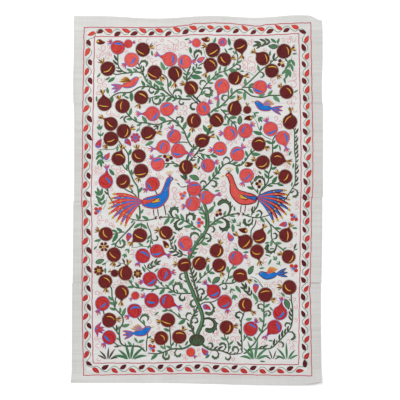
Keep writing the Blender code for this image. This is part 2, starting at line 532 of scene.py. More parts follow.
# Thread: its slot, and its deepest and its brightest dye
DYES = {
    "maroon": ("thread_maroon", (0.052, 0.002, 0.005), (0.156, 0.012, 0.011)),
    "red": ("thread_red", (0.350, 0.009, 0.020), (0.640, 0.070, 0.034)),
    "coral": ("thread_coral", (0.480, 0.036, 0.046), (0.720, 0.115, 0.080)),
    "rose": ("thread_pink", (0.400, 0.070, 0.100), (0.560, 0.130, 0.150)),
    "pink": ("thread_pink", (0.560, 0.085, 0.110), (0.680, 0.180, 0.190)),
    "gold": ("thread_gold", (0.470, 0.220, 0.020), (0.780, 0.500, 0.070)),
    "bronze": ("thread_gold", (0.170, 0.075, 0.020), (0.360, 0.190, 0.045)),
    "blue": ("thread_blue", (0.003, 0.085, 0.360), (0.010, 0.190, 0.620)),
    "violet": ("thread_violet", (0.160, 0.075, 0.330), (0.330, 0.150, 0.480)),
    "green": ("thread_green", (0.028, 0.112, 0.048), (0.080, 0.225, 0.105)),
    "fern": ("thread_green", (0.040, 0.130, 0.060), (0.110, 0.255, 0.130)),
    "moss": ("thread_green", (0.024, 0.080, 0.036), (0.060, 0.150, 0.070)),
    "olive": ("thread_olive", (0.034, 0.030, 0.018), (0.080, 0.072, 0.040)),
    "brown": ("thread_olive", (0.075, 0.024, 0.010), (0.130, 0.040, 0.018)),
    "undyed": ("ground_cloth", (0.520, 0.500, 0.460), (0.640, 0.630, 0.600)),
}
THREADS = {name: Thread() for name in DYES}
# How many points a stem runs in under the fruit that hides it
TUCK = 3
# How far behind a flower's root its stem ends
ROOT_GAP = 0.009
# How far from its root a shape may lie on what is taken, and on stems
ROOT_REACH = 0.006
STEM_REACH = 0.019


def steps_inside(free, limit):
    """For each cell, how many steps it lies inside the free ones, up to a limit."""
    depth = np.zeros(free.shape)
    for step in range(limit):
        depth += free
        inner = free[1:-1, 1:-1] & free[2:, 1:-1] & free[:-2, 1:-1] & free[1:-1, 2:] & free[1:-1, :-2]
        if step % 2:
            inner = inner & free[2:, 2:] & free[:-2, 2:] & free[2:, :-2] & free[:-2, :-2]
        free = np.pad(inner, 1)
    return depth


def cover_of(strokes):
    """Points spread over some shapes."""
    return np.concatenate([stroke.cover() for stroke in strokes])


class Plan:
    """Which cells of the field are taken, and which of them by fruit, flowers and birds, and by stems."""

    CELL = 0.004

    def __init__(self, low, high):
        self.low = low
        self.shape = (int((high - low).imag / self.CELL) + 1, int((high - low).real / self.CELL) + 1)
        self.taken = np.zeros(self.shape, bool)
        self.solid = np.zeros(self.shape, bool)
        self.stems = np.zeros(self.shape, bool)
        self.inside = np.ones(self.shape, bool)

    def cells(self, points):
        offset = (points - self.low) / self.CELL
        row = np.clip(np.floor(offset.imag).astype(int), 0, self.shape[0] - 1)
        column = np.clip(np.floor(offset.real).astype(int), 0, self.shape[1] - 1)
        return row, column

    def centres(self):
        return self.centre(*np.mgrid[0 : self.shape[0], 0 : self.shape[1]])

    def centre(self, row, column):
        return self.low + self.CELL * (column + 0.5 + 1j * (row + 0.5))

    def take(self, strokes, reach=1, solid=False):
        """Marks what the strokes cover, and as many cells beyond as reach says."""
        row, column = self.cells(cover_of(strokes))
        for up in range(-reach, reach + 1):
            for over in range(-reach, reach + 1):
                rows = np.clip(row + up, 0, self.shape[0] - 1)
                columns = np.clip(column + over, 0, self.shape[1] - 1)
                self.taken[rows, columns] = True
        if solid:
            self.solid[row, column] = True

    def take_stems(self, strokes):
        """Marks what stems cover. What grows from them may start on them."""
        row, column = self.cells(cover_of(strokes))
        self.stems[row, column] = True

    def clearance(self, limit):
        """How far each free cell lies from the nearest taken one, in metres, up to a limit."""
        return self.CELL * steps_inside(~self.taken & ~self.stems, math.ceil(limit / self.CELL))

    def clear(self, strokes, root=None):
        """Whether the strokes lie on free cells, apart from close to their root."""
        cover = cover_of(strokes)
        if root is None:
            cells = self.cells(cover)
            return not (self.taken[cells] | self.stems[cells]).any()
        away = np.abs(cover - root)
        if self.taken[self.cells(cover[away > ROOT_REACH])].any():
            return False
        return not self.stems[self.cells(cover[away > STEM_REACH])].any()

    def clear_runs(self, line, shortest):
        """The stretches of a line, as slices, that nothing solid hides. Their ends run in under it."""
        hidden = np.concatenate([[True], self.solid[self.cells(line)], [True]])
        starts = np.flatnonzero(hidden[:-1] & ~hidden[1:])
        ends = np.flatnonzero(~hidden[:-1] & hidden[1:])
        found = [(start, end) for start, end in zip(starts, ends) if end - start >= shortest]
        return [slice(max(start - TUCK, 0), min(end + TUCK, len(line))) for start, end in found]


def sew(strokes, plan=None, reach=1, solid=False):
    """Works the strokes, and marks their place as taken."""
    for stroke in strokes:
        THREADS[stroke.thread].work(stroke)
    if plan is not None:
        plan.take(strokes, reach, solid)


def sew_stems(strokes, plan):
    """Works stems, and marks their place as one that others may grow from."""
    sew(strokes)
    plan.take_stems(strokes)


def some(low, high):
    """A number drawn between two others."""
    return chance.uniform(low, high)


def either():
    """Left or right, as 1 or -1."""
    return 1 if chance.random() < 0.5 else -1


def one_of(options):
    return options[int(chance.random() * len(options))]


def moved(strokes, at, turn=1.0, mirrored=False):
    return [stroke.moved(at, turn, mirrored) for stroke in strokes]


def sew_rooted(plan, strokes, root, headings):
    """Works strokes that grow from 0 along +x at a root, at the first heading where they lie clear."""
    for heading in headings:
        own = moved(strokes, root, np.exp(1j * heading))
        if plan.clear(own, root):
            sew(own, plan, 0)
            return True
    return False


def sew_centred(plan, strokes, at, tries):
    """Works strokes round a place, turned so that they lie clear. Returns a point just behind their root."""
    cover = cover_of(strokes)
    middle = complex(np.ptp(cover.real) / 2 + cover.real.min(), np.ptp(cover.imag) / 2 + cover.imag.min())
    start = some(0.0, 2 * math.pi)
    for k in range(tries):
        turn = np.exp(1j * (start + 2 * math.pi * k / tries))
        own = moved(strokes, at - turn * middle, turn)
        if plan.clear(own):
            sew(own, plan, 0, solid=True)
            return at - turn * middle - turn * ROOT_GAP
    return None


# Border

# Each side's outer and inner red line.
# Left and right, from the top: y, outer x, inner x. Top and bottom, from the left: x, outer y, inner y.
BORDER = {
    "left": (
        (1.038, -0.676, -0.613),
        (0.55, -0.684, -0.622),
        (0.12, -0.688, -0.631),
        (-0.02, -0.692, -0.635),
        (-0.08, -0.687, -0.631),
        (-0.60, -0.688, -0.628),
        (-1.049, -0.680, -0.622),
    ),
    "right": (
        (1.066, 0.683, 0.610),
        (0.60, 0.691, 0.619),
        (0.36, 0.695, 0.624),
        (0.04, 0.694, 0.625),
        (0.01, 0.687, 0.622),
        (-0.20, 0.686, 0.620),
        (-0.42, 0.681, 0.618),
        (-0.50, 0.679, 0.617),
        (-0.54, 0.675, 0.614),
        (-0.62, 0.681, 0.614),
        (-0.96, 0.687, 0.611),
        (-1.052, 0.689, 0.611),
    ),
    "top": (
        (-0.676, 1.038, 0.983),
        (-0.22, 1.038, 0.983),
        (-0.06, 1.051, 0.989),
        (0.00, 1.061, 0.994),
        (0.17, 1.063, 0.991),
        (0.36, 1.046, 0.989),
        (0.44, 1.056, 0.992),
        (0.683, 1.066, 1.004),
    ),
    "bottom": (
        (-0.680, -1.049, -0.976),
        (-0.28, -1.042, -0.975),
        (0.02, -1.038, -0.970),
        (0.11, -1.041, -0.977),
        (0.38, -1.047, -0.984),
        (0.689, -1.052, -0.985),
    ),
}
RED_LINE_HALF_WIDTH = 0.0031
RED_LINE_SHAKE = 0.0009
# How far each red line runs on past the one that it meets
CORNER_OVERLAP = 0.006
# How far apart the points of the border's lines are
BORDER_STEP = 0.005
# How long one wave of the vine is on each side
VINE_WAVES = {"top": 0.1020, "right": 0.1008, "bottom": 0.1112, "left": 0.1135}
# Leaves inside and outside the vine: thread, shortest and longest, narrowest and widest
BORDER_LEAVES = (
    ("maroon", (0.044, 0.053), (0.023, 0.030)),
    ("red", (0.048, 0.057), (0.024, 0.030)),
)
VINE_SWING = 0.0165
VINE_HALF_WIDTH = 0.0022
CORNER_RADIUS = 0.035
# How much further inwards the maroon leaves stand at the corners
CORNER_PUSH = 0.012


def side_line(side, column):
    """One red line of one side, or the line midway, as a smooth curve. column is 1, 2 or 0."""
    rows = np.array(BORDER[side])
    level = rows[:, 1:].mean(axis=1) if column == 0 else rows[:, column]
    knots = rows[:, 0] + 1j * level if side in ("top", "bottom") else level + 1j * rows[:, 0]
    return through(knots, BORDER_STEP)


def shaken(line):
    """A line as a hand draws it: never quite straight."""
    run = run_along(line)
    phase = some(0.0, 6.0)
    sway = np.sin(run * 61.0 + phase) + 0.6 * np.sin(run * 143.0 + 2.0 * phase)
    return line + 1j * along_line(line) * RED_LINE_SHAKE * sway


def red_lines():
    """The two red lines of the border, four sides each, which meet squarely at the corners."""
    strokes = []
    for column in (1, 2):
        left, right, top, bottom = (BORDER[side] for side in ("left", "right", "top", "bottom"))
        reach = {
            "left": (bottom[0][column], top[0][column]),
            "right": (bottom[-1][column], top[-1][column]),
            "top": (left[0][column], right[0][column]),
            "bottom": (left[-1][column], right[-1][column]),
        }
        for side, (low, high) in reach.items():
            line = side_line(side, column)
            line = np.concatenate([[2 * line[0] - line[1]], line, [2 * line[-1] - line[-2]]])
            along = line.real if side in ("top", "bottom") else line.imag
            line = shaken(line[(along > low - CORNER_OVERLAP) & (along < high + CORNER_OVERLAP)])
            width = tapered(len(line), RED_LINE_HALF_WIDTH, 1)
            # The rose lines' rims get a little painted shade.
            strokes.append(Stroke("rose", line, width, tone=some(0.1, 0.7), painted_shade=0.2))
    return strokes


def tapered(count, half_width, ends=2):
    """A half width that is even but for its pointed ends."""
    from_end = np.minimum(np.arange(count), np.arange(count)[::-1])
    return half_width * np.minimum(1.0, from_end / ends)


def border_loop():
    """The closed middle line of the border, clockwise from the upper left, and the vine's waves up to it."""
    corner = CORNER_RADIUS
    left, right = side_line("left", 0)[::-1], side_line("right", 0)
    top, bottom = side_line("top", 0), side_line("bottom", 0)[::-1]
    parts = (
        ("top", top[(top.real > left[-1].real + corner) & (top.real < right[0].real - corner)]),
        ("right", right[(right.imag < top[-1].imag - corner) & (right.imag > bottom[0].imag + corner)]),
        ("bottom", bottom[(bottom.real > left[0].real + corner) & (bottom.real < right[-1].real - corner)]),
        ("left", left[(left.imag < top[0].imag - corner) & (left.imag > bottom[-1].imag + corner)]),
    )
    loop = np.concatenate([line for _, line in parts])
    rate = np.concatenate([np.full(len(line), 1.0 / VINE_WAVES[side]) for side, line in parts])
    loop = np.append(loop, loop[0])
    run = run_along(loop)
    waves = np.concatenate([[0.0], np.cumsum(np.abs(np.diff(loop)) * rate)])
    waves *= round(waves[-1]) / waves[-1]
    at = np.linspace(0.0, run[-1], round(run[-1] / 0.004) + 1)[:-1]
    even = at_runs(loop, run, at)
    rounded = np.mean([np.roll(even, k) for k in range(-6, 7)], axis=0)
    return rounded, np.interp(at, run, waves)


def border_vine():
    """The thin stem that winds round the border, with a leaf in each bend: red outside, maroon inside."""
    loop, waves = border_loop()
    forward = along_line(loop, closed=True)
    outwards = 1j * forward
    vine = loop + outwards * VINE_SWING * np.sin(2 * math.pi * waves)
    strokes = [Stroke("moss", vine, VINE_HALF_WIDTH, closed=True, tone=1.2, painted_shade=0.0)]
    for bend in range(2 * round(waves[-1])):
        at = np.argmin(np.abs(waves - (bend + 0.5) / 2))
        outside = bend % 2 == 1
        side = 1 if outside else -1
        thread, lengths, widths = BORDER_LEAVES[outside]
        length, width = some(*lengths), some(*widths)
        heading = np.angle(-forward[at]) - side * math.radians(some(10, 24))
        middle = loop[at] + outwards[at] * side * some(0.0065, 0.0095)
        if not outside and abs(forward[(at + 8) % len(loop)] - forward[at - 8]) > 0.4:
            middle += outwards[at] * CORNER_PUSH
        start = middle - np.exp(1j * heading) * length * 0.5
        tone = zone_tone(middle)
        curve = -side * some(0.1, 0.5)
        blade = leaf(thread, start, heading, length, width, curve, tone, fullest=some(0.68, 0.95))
        # The much darker rim and brighter heart are painted shade, and also stand for the leaves' lighter
        # stitched hearts.
        blade.painted_shade = 1.3
        strokes.append(blade)
    return strokes


def zone_tone(at):
    """How the dye lots run: brighter at the top of the cloth, deeper at the foot."""
    return float(np.clip(0.52 - 0.38 * (0.6 - at.imag) + some(-0.2, 0.2), 0.0, 1.0))


# Shapes

# How far apart the points of a leaf are
LEAF_STEP = 0.0065
# How high the heart of a shape stands over its edge of another thread
HEART_LIFT = 0.0005


def tone_or_any(tone):
    """A tone, or one drawn by chance where none is given."""
    return some(0.0, 1.0) if tone is None else tone


def pointed(half_width):
    """The same half widths, brought to nothing at both ends."""
    half_width[0] = half_width[-1] = 0.0
    return half_width


def leaf(thread, start, heading, length, width, bend=0.0, tone=None, lift=0.0, fullest=0.85):
    """A leaf from its stem to its tip, pointed at both ends. A low fullest makes it fuller near its stem."""
    count = max(6, round(length / LEAF_STEP))
    line = swing(start, heading, length, bend, 1.0, count)
    half_width = width / 2 * np.sin(np.pi * np.linspace(0.0, 1.0, count) ** fullest) ** 0.85
    return Stroke(thread, line, pointed(half_width), tone=tone_or_any(tone), lift=lift)


def teardrop(thread, start, heading, length, width, bend=0.0, tone=None, lift=0.0):
    """A leaf that is round at its start and pointed at its tip."""
    return leaf(thread, start, heading, length, width, bend, tone, lift, fullest=0.60)


def stem(thread, line, start_width, end_width, tone=None, lift=0.0):
    """A stem that thins out along its length."""
    half_width = np.linspace(start_width, end_width, len(line)) / 2 * tapered(len(line), 1.0)
    return Stroke(thread, line, half_width, tone=tone_or_any(tone), lift=lift)


def around(count):
    """Unit directions all the way round."""
    return np.exp(2j * np.pi * np.arange(count) / count)


def dot(thread, centre, radius, tone=None, lift=0.0, count=12):
    """A small round."""
    return Stroke(thread, centre + radius * around(count), tone=tone_or_any(tone), lift=lift)


def two_tone(line, half_width, lift=0.0):
    """A curved band with a dark edge and a green heart that lies to one side."""
    width = half_width.max()
    tone = some(0.0, 1.0)
    heart = pointed(np.maximum(half_width - width * 0.42, 0.0))
    heart_line = line + 1j * along_line(line) * width * 0.16
    edge = Stroke("olive", line, half_width, tone=tone, lift=lift)
    return [edge, Stroke(one_of(("green", "moss")), heart_line, heart, tone=tone, lift=lift + HEART_LIFT)]


# Motifs. Each grows from 0 along +x. Most measures in them are shares of the motif's own size.

# Colour: thread of the body, of the outline and of the mark on it, and the mark's half width
FRUIT_THREADS = {
    "maroon": ("maroon", "bronze", "gold", 0.0043),
    "red": ("red", "violet", "blue", 0.0073),
    "coral": ("coral", "violet", "blue", 0.0073),
}
FRUIT_RADIUS = 0.0425
SMALL_FRUIT_RADIUS = 0.0265
OUTLINE_HALF_WIDTH = 0.0016
# Share of the large fruit that have a neck, and how far it draws out, as shares of the radius
NECK_CHANCE = 0.45
NECKS = {"maroon": (0.30, 0.45), "red": (0.42, 0.70), "coral": (0.42, 0.70)}
TOOTH_PLACES = (0.30, 0.44, 0.58, 0.70)


def fruit_outline(radius, neck, count):
    """A round fruit whose crown end, along +x, draws out into a neck."""
    share = np.arange(count) / count
    angle = 2 * np.pi * share - 0.55 * np.sin(2 * np.pi * share)
    near = np.minimum(angle, 2 * np.pi - angle)
    uneven = 1.0 + 0.014 * np.sin(3 * angle + some(0, 6)) + 0.014 * np.sin(2 * angle + some(0, 6))
    return radius * uneven * (1.0 + neck * np.exp(-((near / 0.16) ** 1.2))) * np.exp(1j * angle)


def crown(base, size, body, outline):
    """The narrow sepals that spread at the end of a fruit."""
    bright = "gold" if body == "maroon" else body
    strokes = [leaf(outline, base - size * 0.35, 0.0, size * 0.80, size * 0.42)]
    for spread, thread in ((-1.0, outline), (-0.35, bright), (0.35, body), (1.0, outline)):
        tilt, length = spread * some(0.70, 1.00), size * some(0.85, 1.10)
        strokes.append(leaf(thread, base, tilt, length, size * 0.25, -0.5 * spread, lift=0.0003))
    return strokes


def crescent(thread, widest, radius):
    """The curved mark of light on a fruit, facing any way."""
    bend = some(0.6, 2.1)
    line = swing(0j, -bend / 2, some(1.25, 1.65) * radius, bend, 1.0, 12)
    line = line - line[6] - 1j * some(0.25, 0.60) * radius
    share = np.linspace(0.0, 1.0, len(line))
    half_width = pointed(widest * some(0.9, 1.1) * np.sin(np.pi * share ** some(0.75, 1.3)) ** 0.7)
    # The crescent's rim gets only a little painted shade.
    return Stroke(thread, line * turned(some(0, 360)), half_width, tone=some(0.5, 1), lift=0.0008, painted_shade=0.1)


def fruit(radius, colour, tone=None):
    """A pomegranate with its outline, its crescent of light and its crown, round 0."""
    body, outline, mark, mark_width = FRUIT_THREADS[colour]
    large = radius > 0.03
    neck = some(*NECKS[colour]) if large and chance.random() < NECK_CHANCE else 0.0
    shape = fruit_outline(radius, neck, 36 if large else 24)
    inner = shape * (1.0 - OUTLINE_HALF_WIDTH / radius)
    strokes = [
        Stroke(body, inner, tone=tone_or_any(tone)),
        Stroke(outline, shape, OUTLINE_HALF_WIDTH, closed=True, tone=some(0, 0.5), lift=-0.0001),
    ]
    if large:
        strokes.append(crescent(mark, mark_width, radius))
    size = (0.80 if large else 0.90) * radius
    return strokes + moved(crown(radius * (1.0 + neck), size, body, outline), 0j, turned(some(-3, 3)))


def bud(length, colour):
    """An almond bud with a hooked tip and a spot at its root."""
    body, outline, mark, _ = FRUIT_THREADS[colour]
    bend = either() * some(0.5, 1.3)
    return [
        teardrop(outline, -0.002, 0.0, length, length * 0.60, bend),
        teardrop(body, 0.001, 0.0, length * 0.90, length * 0.47, bend * 0.90, lift=0.0006),
        dot(mark, length * 0.17, length * 0.12, tone=1.0, lift=0.0016),
    ]


def trefoil(size, colour):
    """A flower of three round petals with thin sepals behind."""
    body, outline, mark, _ = FRUIT_THREADS[colour]
    strokes = [leaf("moss", -size * 0.20, 0.0, size * 0.60, size * 0.10)]
    for k in (-1, 0, 1):
        strokes.append(leaf(outline, size * 0.34, math.pi + k * 0.75, size * 0.62, size * 0.13, lift=0.0002))
    for k in (-1, 0, 1):
        at = size * 0.40 + size * 0.50 * turned(k * 84)
        strokes.append(dot(body, at, size * 0.34, lift=0.0004 + 0.0003 * k))
    return strokes + [dot(mark, size * 0.42, size * 0.22, tone=1.0, lift=0.0012)]


def tulip(size, colour):
    """A flower of three pointed petals and two that roll outwards."""
    body, outline, mark, _ = FRUIT_THREADS[colour]
    strokes = []
    for side in (-1, 1):
        tilt, bend = side * 0.78, side * 0.45
        strokes.append(teardrop(outline, 0.0, tilt, size * 0.98, size * 0.36, side * 0.5))
        strokes.append(teardrop(body, size * 0.02, tilt, size * 0.88, size * 0.25, bend, lift=HEART_LIFT))
    for side in (-1, 0, 1):
        tilt, shorter = side * 0.32, 0.06 * abs(side)
        strokes.append(leaf(outline, 0.0, tilt, size * (1.06 - shorter), size * 0.34, lift=0.0006))
        strokes.append(leaf(body, size * 0.02, tilt, size * (0.96 - shorter), size * 0.24, lift=0.0011))
    return strokes + [teardrop(mark, -size * 0.04, 0.0, size * 0.36, size * 0.22, tone=1.0, lift=0.0020)]


def rosette(radius, colour):
    """A round flower of petals about an eye."""
    body, outline, mark, _ = FRUIT_THREADS[colour]
    petals = one_of((6, 7, 8))
    strokes = []
    for k in range(petals):
        direction = turned(360 * k / petals)
        inwards = np.angle(-direction)
        strokes.append(teardrop(outline, radius * direction, inwards, radius * 0.86, radius * 0.66))
        inner = radius * 0.95 * direction
        strokes.append(teardrop(body, inner, inwards, radius * 0.76, radius * 0.50, lift=0.0006))
    eye = dot(mark, 0j, radius * 0.30, tone=1.0, lift=0.0011)
    return strokes + [eye, dot(body, 0j, radius * 0.14, lift=0.0022)]


def hook(length, bend, blunt=True):
    """A shoot that rolls up, thickest near its end or in its middle, with teeth on its outer side."""
    count = max(12, round(length / 0.0060))
    line = swing(0j, 0.0, length, bend, 1.4, count)
    share = np.linspace(0.0, 1.0, count)
    if blunt:
        half_width = length * (0.032 + 0.078 * share**1.4) * np.sqrt(1.0 - share**10)
    else:
        half_width = length * 0.085 * np.sin(np.pi * share**1.2) ** 0.7
    half_width = pointed(half_width)
    strokes = []
    outer = -math.copysign(1.0, bend)
    forward = along_line(line)
    for place_share in TOOTH_PLACES:
        at = round(place_share * (count - 1))
        root = line[at] + 0.3j * outer * forward[at] * half_width[at]
        heading, bend = np.angle(forward[at]) + 0.70 * outer, -0.5 * outer
        strokes.append(leaf("olive", root, heading, length * 0.17, length * 0.055, bend, lift=-0.0002))
    return strokes + two_tone(line, half_width)


def spray(length, pairs, thread, toothed=False):
    """A leafy shoot with its leaves in pairs and one at the tip."""
    line = swing(0j, 0.0, length * 0.66, either() * some(0.1, 0.6), 1.0, 12)
    forward = np.angle(along_line(line))
    tone = some(0.0, 1.0)
    strokes = [stem("moss", line, 0.0062, 0.0040, tone, -0.0003)]
    spots = [(11, 0.0, 1.0)]
    for k in range(pairs):
        at = round(np.interp(k, (0, pairs - 1), (3, 10)))
        share = 1.0 - 0.10 * (pairs - 1 - k) * (pairs - 1 - k) / pairs
        spots += [(at, side * some(0.60, 0.80), share) for side in (1, -1)]
    for at, lean, share in spots:
        size = length * 0.38 * share * some(0.92, 1.05)
        heading = forward[at] + lean
        if toothed:
            strokes += tooth(line[at], heading, size, size * 0.34, -0.6 * lean, tone)
        else:
            strokes.append(leaf(thread, line[at], heading, size, size * some(0.35, 0.43), -0.4 * lean, tone))
    return strokes


def broad_leaf(length, thread):
    """A broad leaf with a dark edge, a lighter heart and a rib."""
    bend = either() * some(0.2, 0.7)
    tone = some(0.2, 1.0)
    edge = leaf("olive", 0.004, 0.0, length, length * 0.52, bend, tone)
    heart = leaf(thread, 0.008, 0.0, length - 0.009, length * 0.52 - 0.007, bend, tone, HEART_LIFT)
    rib = stem("olive", heart.line[1:-2], 0.0026, 0.0018, tone, 0.0013)
    return [edge, heart, rib]


def tendril(length, turns):
    """Fine pink scrolls: a line that winds up at its end, and a smaller one that leaves it."""
    line = swing(0j, 0.0, length, turns, 1.7, max(14, round(length / 0.004)))
    tone = some(0.5, 1.0)
    strokes = [Stroke("pink", line, tapered(len(line), 0.0018), tone=tone)]
    if length > 0.07:
        fork = len(line) // 4
        heading = np.angle(along_line(line)[fork])
        side = swing(line[fork], heading, length * 0.62, -turns * 0.95, 1.5, 18)
        strokes.append(Stroke("pink", side, tapered(len(side), 0.0017), tone=tone))
    return strokes


def clump(height, blades, thread):
    """A clump of curved grass blades that fan out, upright along +y."""
    strokes = []
    for k in range(blades):
        spread = (k / (blades - 1) - 0.5) * 2 + some(-0.08, 0.08)
        length = height * (1.0 - 0.30 * abs(spread)) * some(0.80, 1.1)
        start = complex(spread * height * 0.16, 0.0)
        heading = math.pi / 2 - spread * 0.80
        bend = -spread * some(0.5, 1.3)
        strokes.append(leaf(thread, start, heading, length, height * 0.14, bend, lift=0.0002 * (k % 2)))
    return strokes


# Birds, facing right

# How far apart the points of a bird's spine are, and how much wider its edge is than its body
BIRD_STEP = 0.0045
BIRD_EDGE = 0.007
# Knots of the spine from the rump to the head, with the body's width at each
PEAFOWL_SPINE = (
    (-0.062 + 0.004j, 0.022),
    (-0.034 + 0.000j, 0.052),
    (0.010 + 0.004j, 0.066),
    (0.044 + 0.030j, 0.046),
    (0.056 + 0.072j, 0.026),
    (0.070 + 0.106j, 0.027),
    (0.090 + 0.108j, 0.016),
)
# Feathers, their length and the root of the first, in each row of the wing
PEAFOWL_WING = (
    (5, 0.078, 0.014 + 0.020j),
    (4, 0.052, 0.030 + 0.022j),
)
SONGBIRD_SPINE = (
    (-0.046 + 0.000j, 0.018),
    (-0.018 - 0.002j, 0.038),
    (0.012 + 0.000j, 0.042),
    (0.035 + 0.014j, 0.031),
    (0.053 + 0.018j, 0.016),
)


def bird_body(spine, body, edge, tone, lift):
    """A body along a spine, over its edge: two bands whose widths are given at the spine's knots."""
    knots, widths = (np.array(column) for column in zip(*spine))
    line = through(knots, BIRD_STEP)
    run = run_along(line)
    nearest = [run[np.argmin(np.abs(line - knot))] for knot in knots]
    strokes = []
    for thread, narrower, own_tone, own_lift in (
        (edge, 0.0, tone, lift),
        (body, BIRD_EDGE, 0.5, lift + HEART_LIFT),
    ):
        half_width = np.interp(run, nearest, widths - narrower) / 2
        half_width = np.convolve(np.pad(half_width, 2, "edge"), np.full(5, 0.2), "valid")
        half_width = half_width * tapered(len(line), 1.0)
        strokes.append(Stroke(thread, line, half_width, tone=own_tone, lift=own_lift))
    return strokes


def feather(thread, edge, root, heading, length, width, bend, lift):
    """A narrow feather with an edge of another colour."""
    return [
        leaf(edge, root, heading, length, width, bend, 0.4, lift, 1.3),
        leaf(thread, root, heading, length * 0.95, width * 0.58, bend, 0.6, lift + HEART_LIFT, 1.3),
    ]


def peafowl(body, edge, second):
    """A standing crested bird with a long tail that droops behind it, about 0.30 m long."""
    strokes = []
    for k in range(9):
        heading, bend = math.pi + 0.46 - 0.115 * k, 0.95 - 0.06 * k
        length = 0.185 - 0.007 * abs(k - 4)
        own = body if k % 2 else second
        quill = feather(own, edge, -0.046 + 0.004j, heading, length, 0.0175, bend, 0.0002 * k)
        strokes += quill
        for share, size in ((0.93, 0.0066), (0.62, 0.0046)):
            eye = quill[0].line[round(share * (len(quill[0].line) - 1))]
            strokes.append(dot("gold", eye, size, 1.0, 0.0002 * k + 0.0010, 10))
            strokes.append(dot("maroon", eye, size * 0.45, 0.5, 0.0002 * k + 0.0018, 8))
    strokes += bird_body(PEAFOWL_SPINE, body, edge, 0.3, 0.0020)
    for row, (count, length, root) in enumerate(PEAFOWL_WING):
        for k in range(count):
            heading = math.pi + 0.05 - 0.15 * k + 0.12 * row
            lift = 0.0032 + 0.0003 * k + 0.0014 * row
            colours = ("gold", "maroon") if row else (second, edge)
            strokes += feather(*colours, root - 0.006j * k, heading + 0.25, length, 0.014, 0.25, lift)
    for share in (0.58, 0.66):
        collar = 0.058 * share / 0.62 + 1j * (0.030 + 0.130 * (share - 0.40))
        strokes.append(leaf("gold", collar - 0.011, 0.25, 0.022, 0.0042, lift=0.0038))
    strokes.append(leaf("gold", 0.092 + 0.107j, -0.35, 0.018, 0.007, lift=0.0020))
    strokes.append(dot("gold", 0.077 + 0.108j, 0.0034, 1.0, 0.0036, 8))
    for k in range(5):
        plume = swing(0.071 + 0.116j, math.pi / 2 + 0.62 - 0.32 * k, 0.026, 0.2, 1.0, 8)
        strokes.append(stem(edge, plume, 0.0030, 0.0022))
        strokes.append(dot("gold", plume[-1], 0.0036, 1.0, 0.0004, 8))
    for foot in (-0.006, 0.014):
        shin = swing(complex(foot, -0.024), -math.pi / 2 + 0.12, 0.045, 0.0, 1.0, 8)
        strokes.append(stem("maroon", shin, 0.0058, 0.0048, lift=0.0003))
        for toe in (-0.5, 0.1, 0.7):
            strokes.append(leaf("maroon", shin[-1], toe - 0.35, 0.018, 0.0048, lift=0.0003))
    return strokes


def songbird(body, edge, wing):
    """A small bird with a forked tail and a lifted wing, about 0.15 m long."""
    strokes = []
    for k, tilt in enumerate((0.24, 0.02, -0.20)):
        strokes += feather(body, edge, -0.030 + 0j, math.pi + tilt, 0.074, 0.016, tilt, 0.0002 * k)
    strokes += bird_body(SONGBIRD_SPINE, body, edge, 0.4, 0.0006)
    for k in range(4):
        heading = math.pi - 0.45 - 0.21 * k
        length, lift = 0.066 - 0.006 * k, 0.0016 + 0.0003 * k
        strokes += feather(wing, "gold", 0.008 + 0.006j, heading, length, 0.014, 0.3, lift)
    strokes.append(leaf("gold", 0.051 + 0.018j, 0.05, 0.018, 0.0075, lift=0.0011))
    strokes.append(dot("gold", 0.038 + 0.020j, 0.0030, 1.0, 0.0022, 8))
    return strokes


# The field

# How far the needlework keeps from the inner red line
FIELD_MARGIN = 0.011
# The main stem, and a thinner one that winds round it
TRUNK_KNOTS = (
    0.000 - 0.810j,
    0.034 - 0.700j,
    -0.020 - 0.560j,
    -0.066 - 0.420j,
    -0.010 - 0.270j,
    0.066 - 0.150j,
    0.030 + 0.010j,
    -0.070 + 0.120j,
    -0.050 + 0.270j,
    0.060 + 0.390j,
    0.070 + 0.530j,
    -0.030 + 0.640j,
    -0.060 + 0.750j,
    0.010 + 0.880j,
)
TWINER_KNOTS = (
    -0.014 - 0.810j,
    -0.036 - 0.730j,
    0.010 - 0.610j,
    -0.020 - 0.480j,
    -0.050 - 0.320j,
    0.040 - 0.230j,
    0.046 - 0.080j,
    -0.040 + 0.020j,
    -0.060 + 0.200j,
    0.010 + 0.300j,
    0.090 + 0.460j,
    0.020 + 0.560j,
    -0.070 + 0.680j,
    0.000 + 0.800j,
)
BOUGHS = (
    (0.030 - 0.190j, -0.080 - 0.120j, -0.190 - 0.100j, -0.320 - 0.122j, -0.430 - 0.104j),
    (0.060 - 0.170j, 0.130 - 0.112j, 0.240 - 0.080j, 0.355 - 0.104j, 0.450 - 0.084j),
)
ROOTS = (
    (-0.020 - 0.855j, -0.080 - 0.888j, -0.150 - 0.892j, -0.225 - 0.918j, -0.300 - 0.915j),
    (0.020 - 0.855j, 0.075 - 0.893j, 0.140 - 0.900j, 0.205 - 0.922j, 0.270 - 0.917j),
)
PERCH_LEFT = -0.255 - 0.012j
PERCH_RIGHT = 0.285 + 0.010j
PEAFOWL_SIZE = 1.30
# How far up the trunk no fruit hangs in front of it
BARE_TRUNK = -0.500
# Where the songbirds are, how they are turned, whether they face left, and their colours
SONGBIRDS = (
    (-0.400 + 0.700j, 15, False, ("coral", "blue", "maroon")),
    (0.400 + 0.560j, -10, True, ("blue", "red", "violet")),
    (0.430 - 0.450j, 10, True, ("blue", "maroon", "coral")),
    (-0.330 - 0.790j, 8, False, ("blue", "red", "violet")),
)
SONGBIRD_SIZE = 1.15
# The mound at the foot of the tree: centre, radius and how much lower than wide it is
MOUND_CENTRE = -0.838j
MOUND_RADIUS = 0.046
MOUND_SQUASH = 0.80
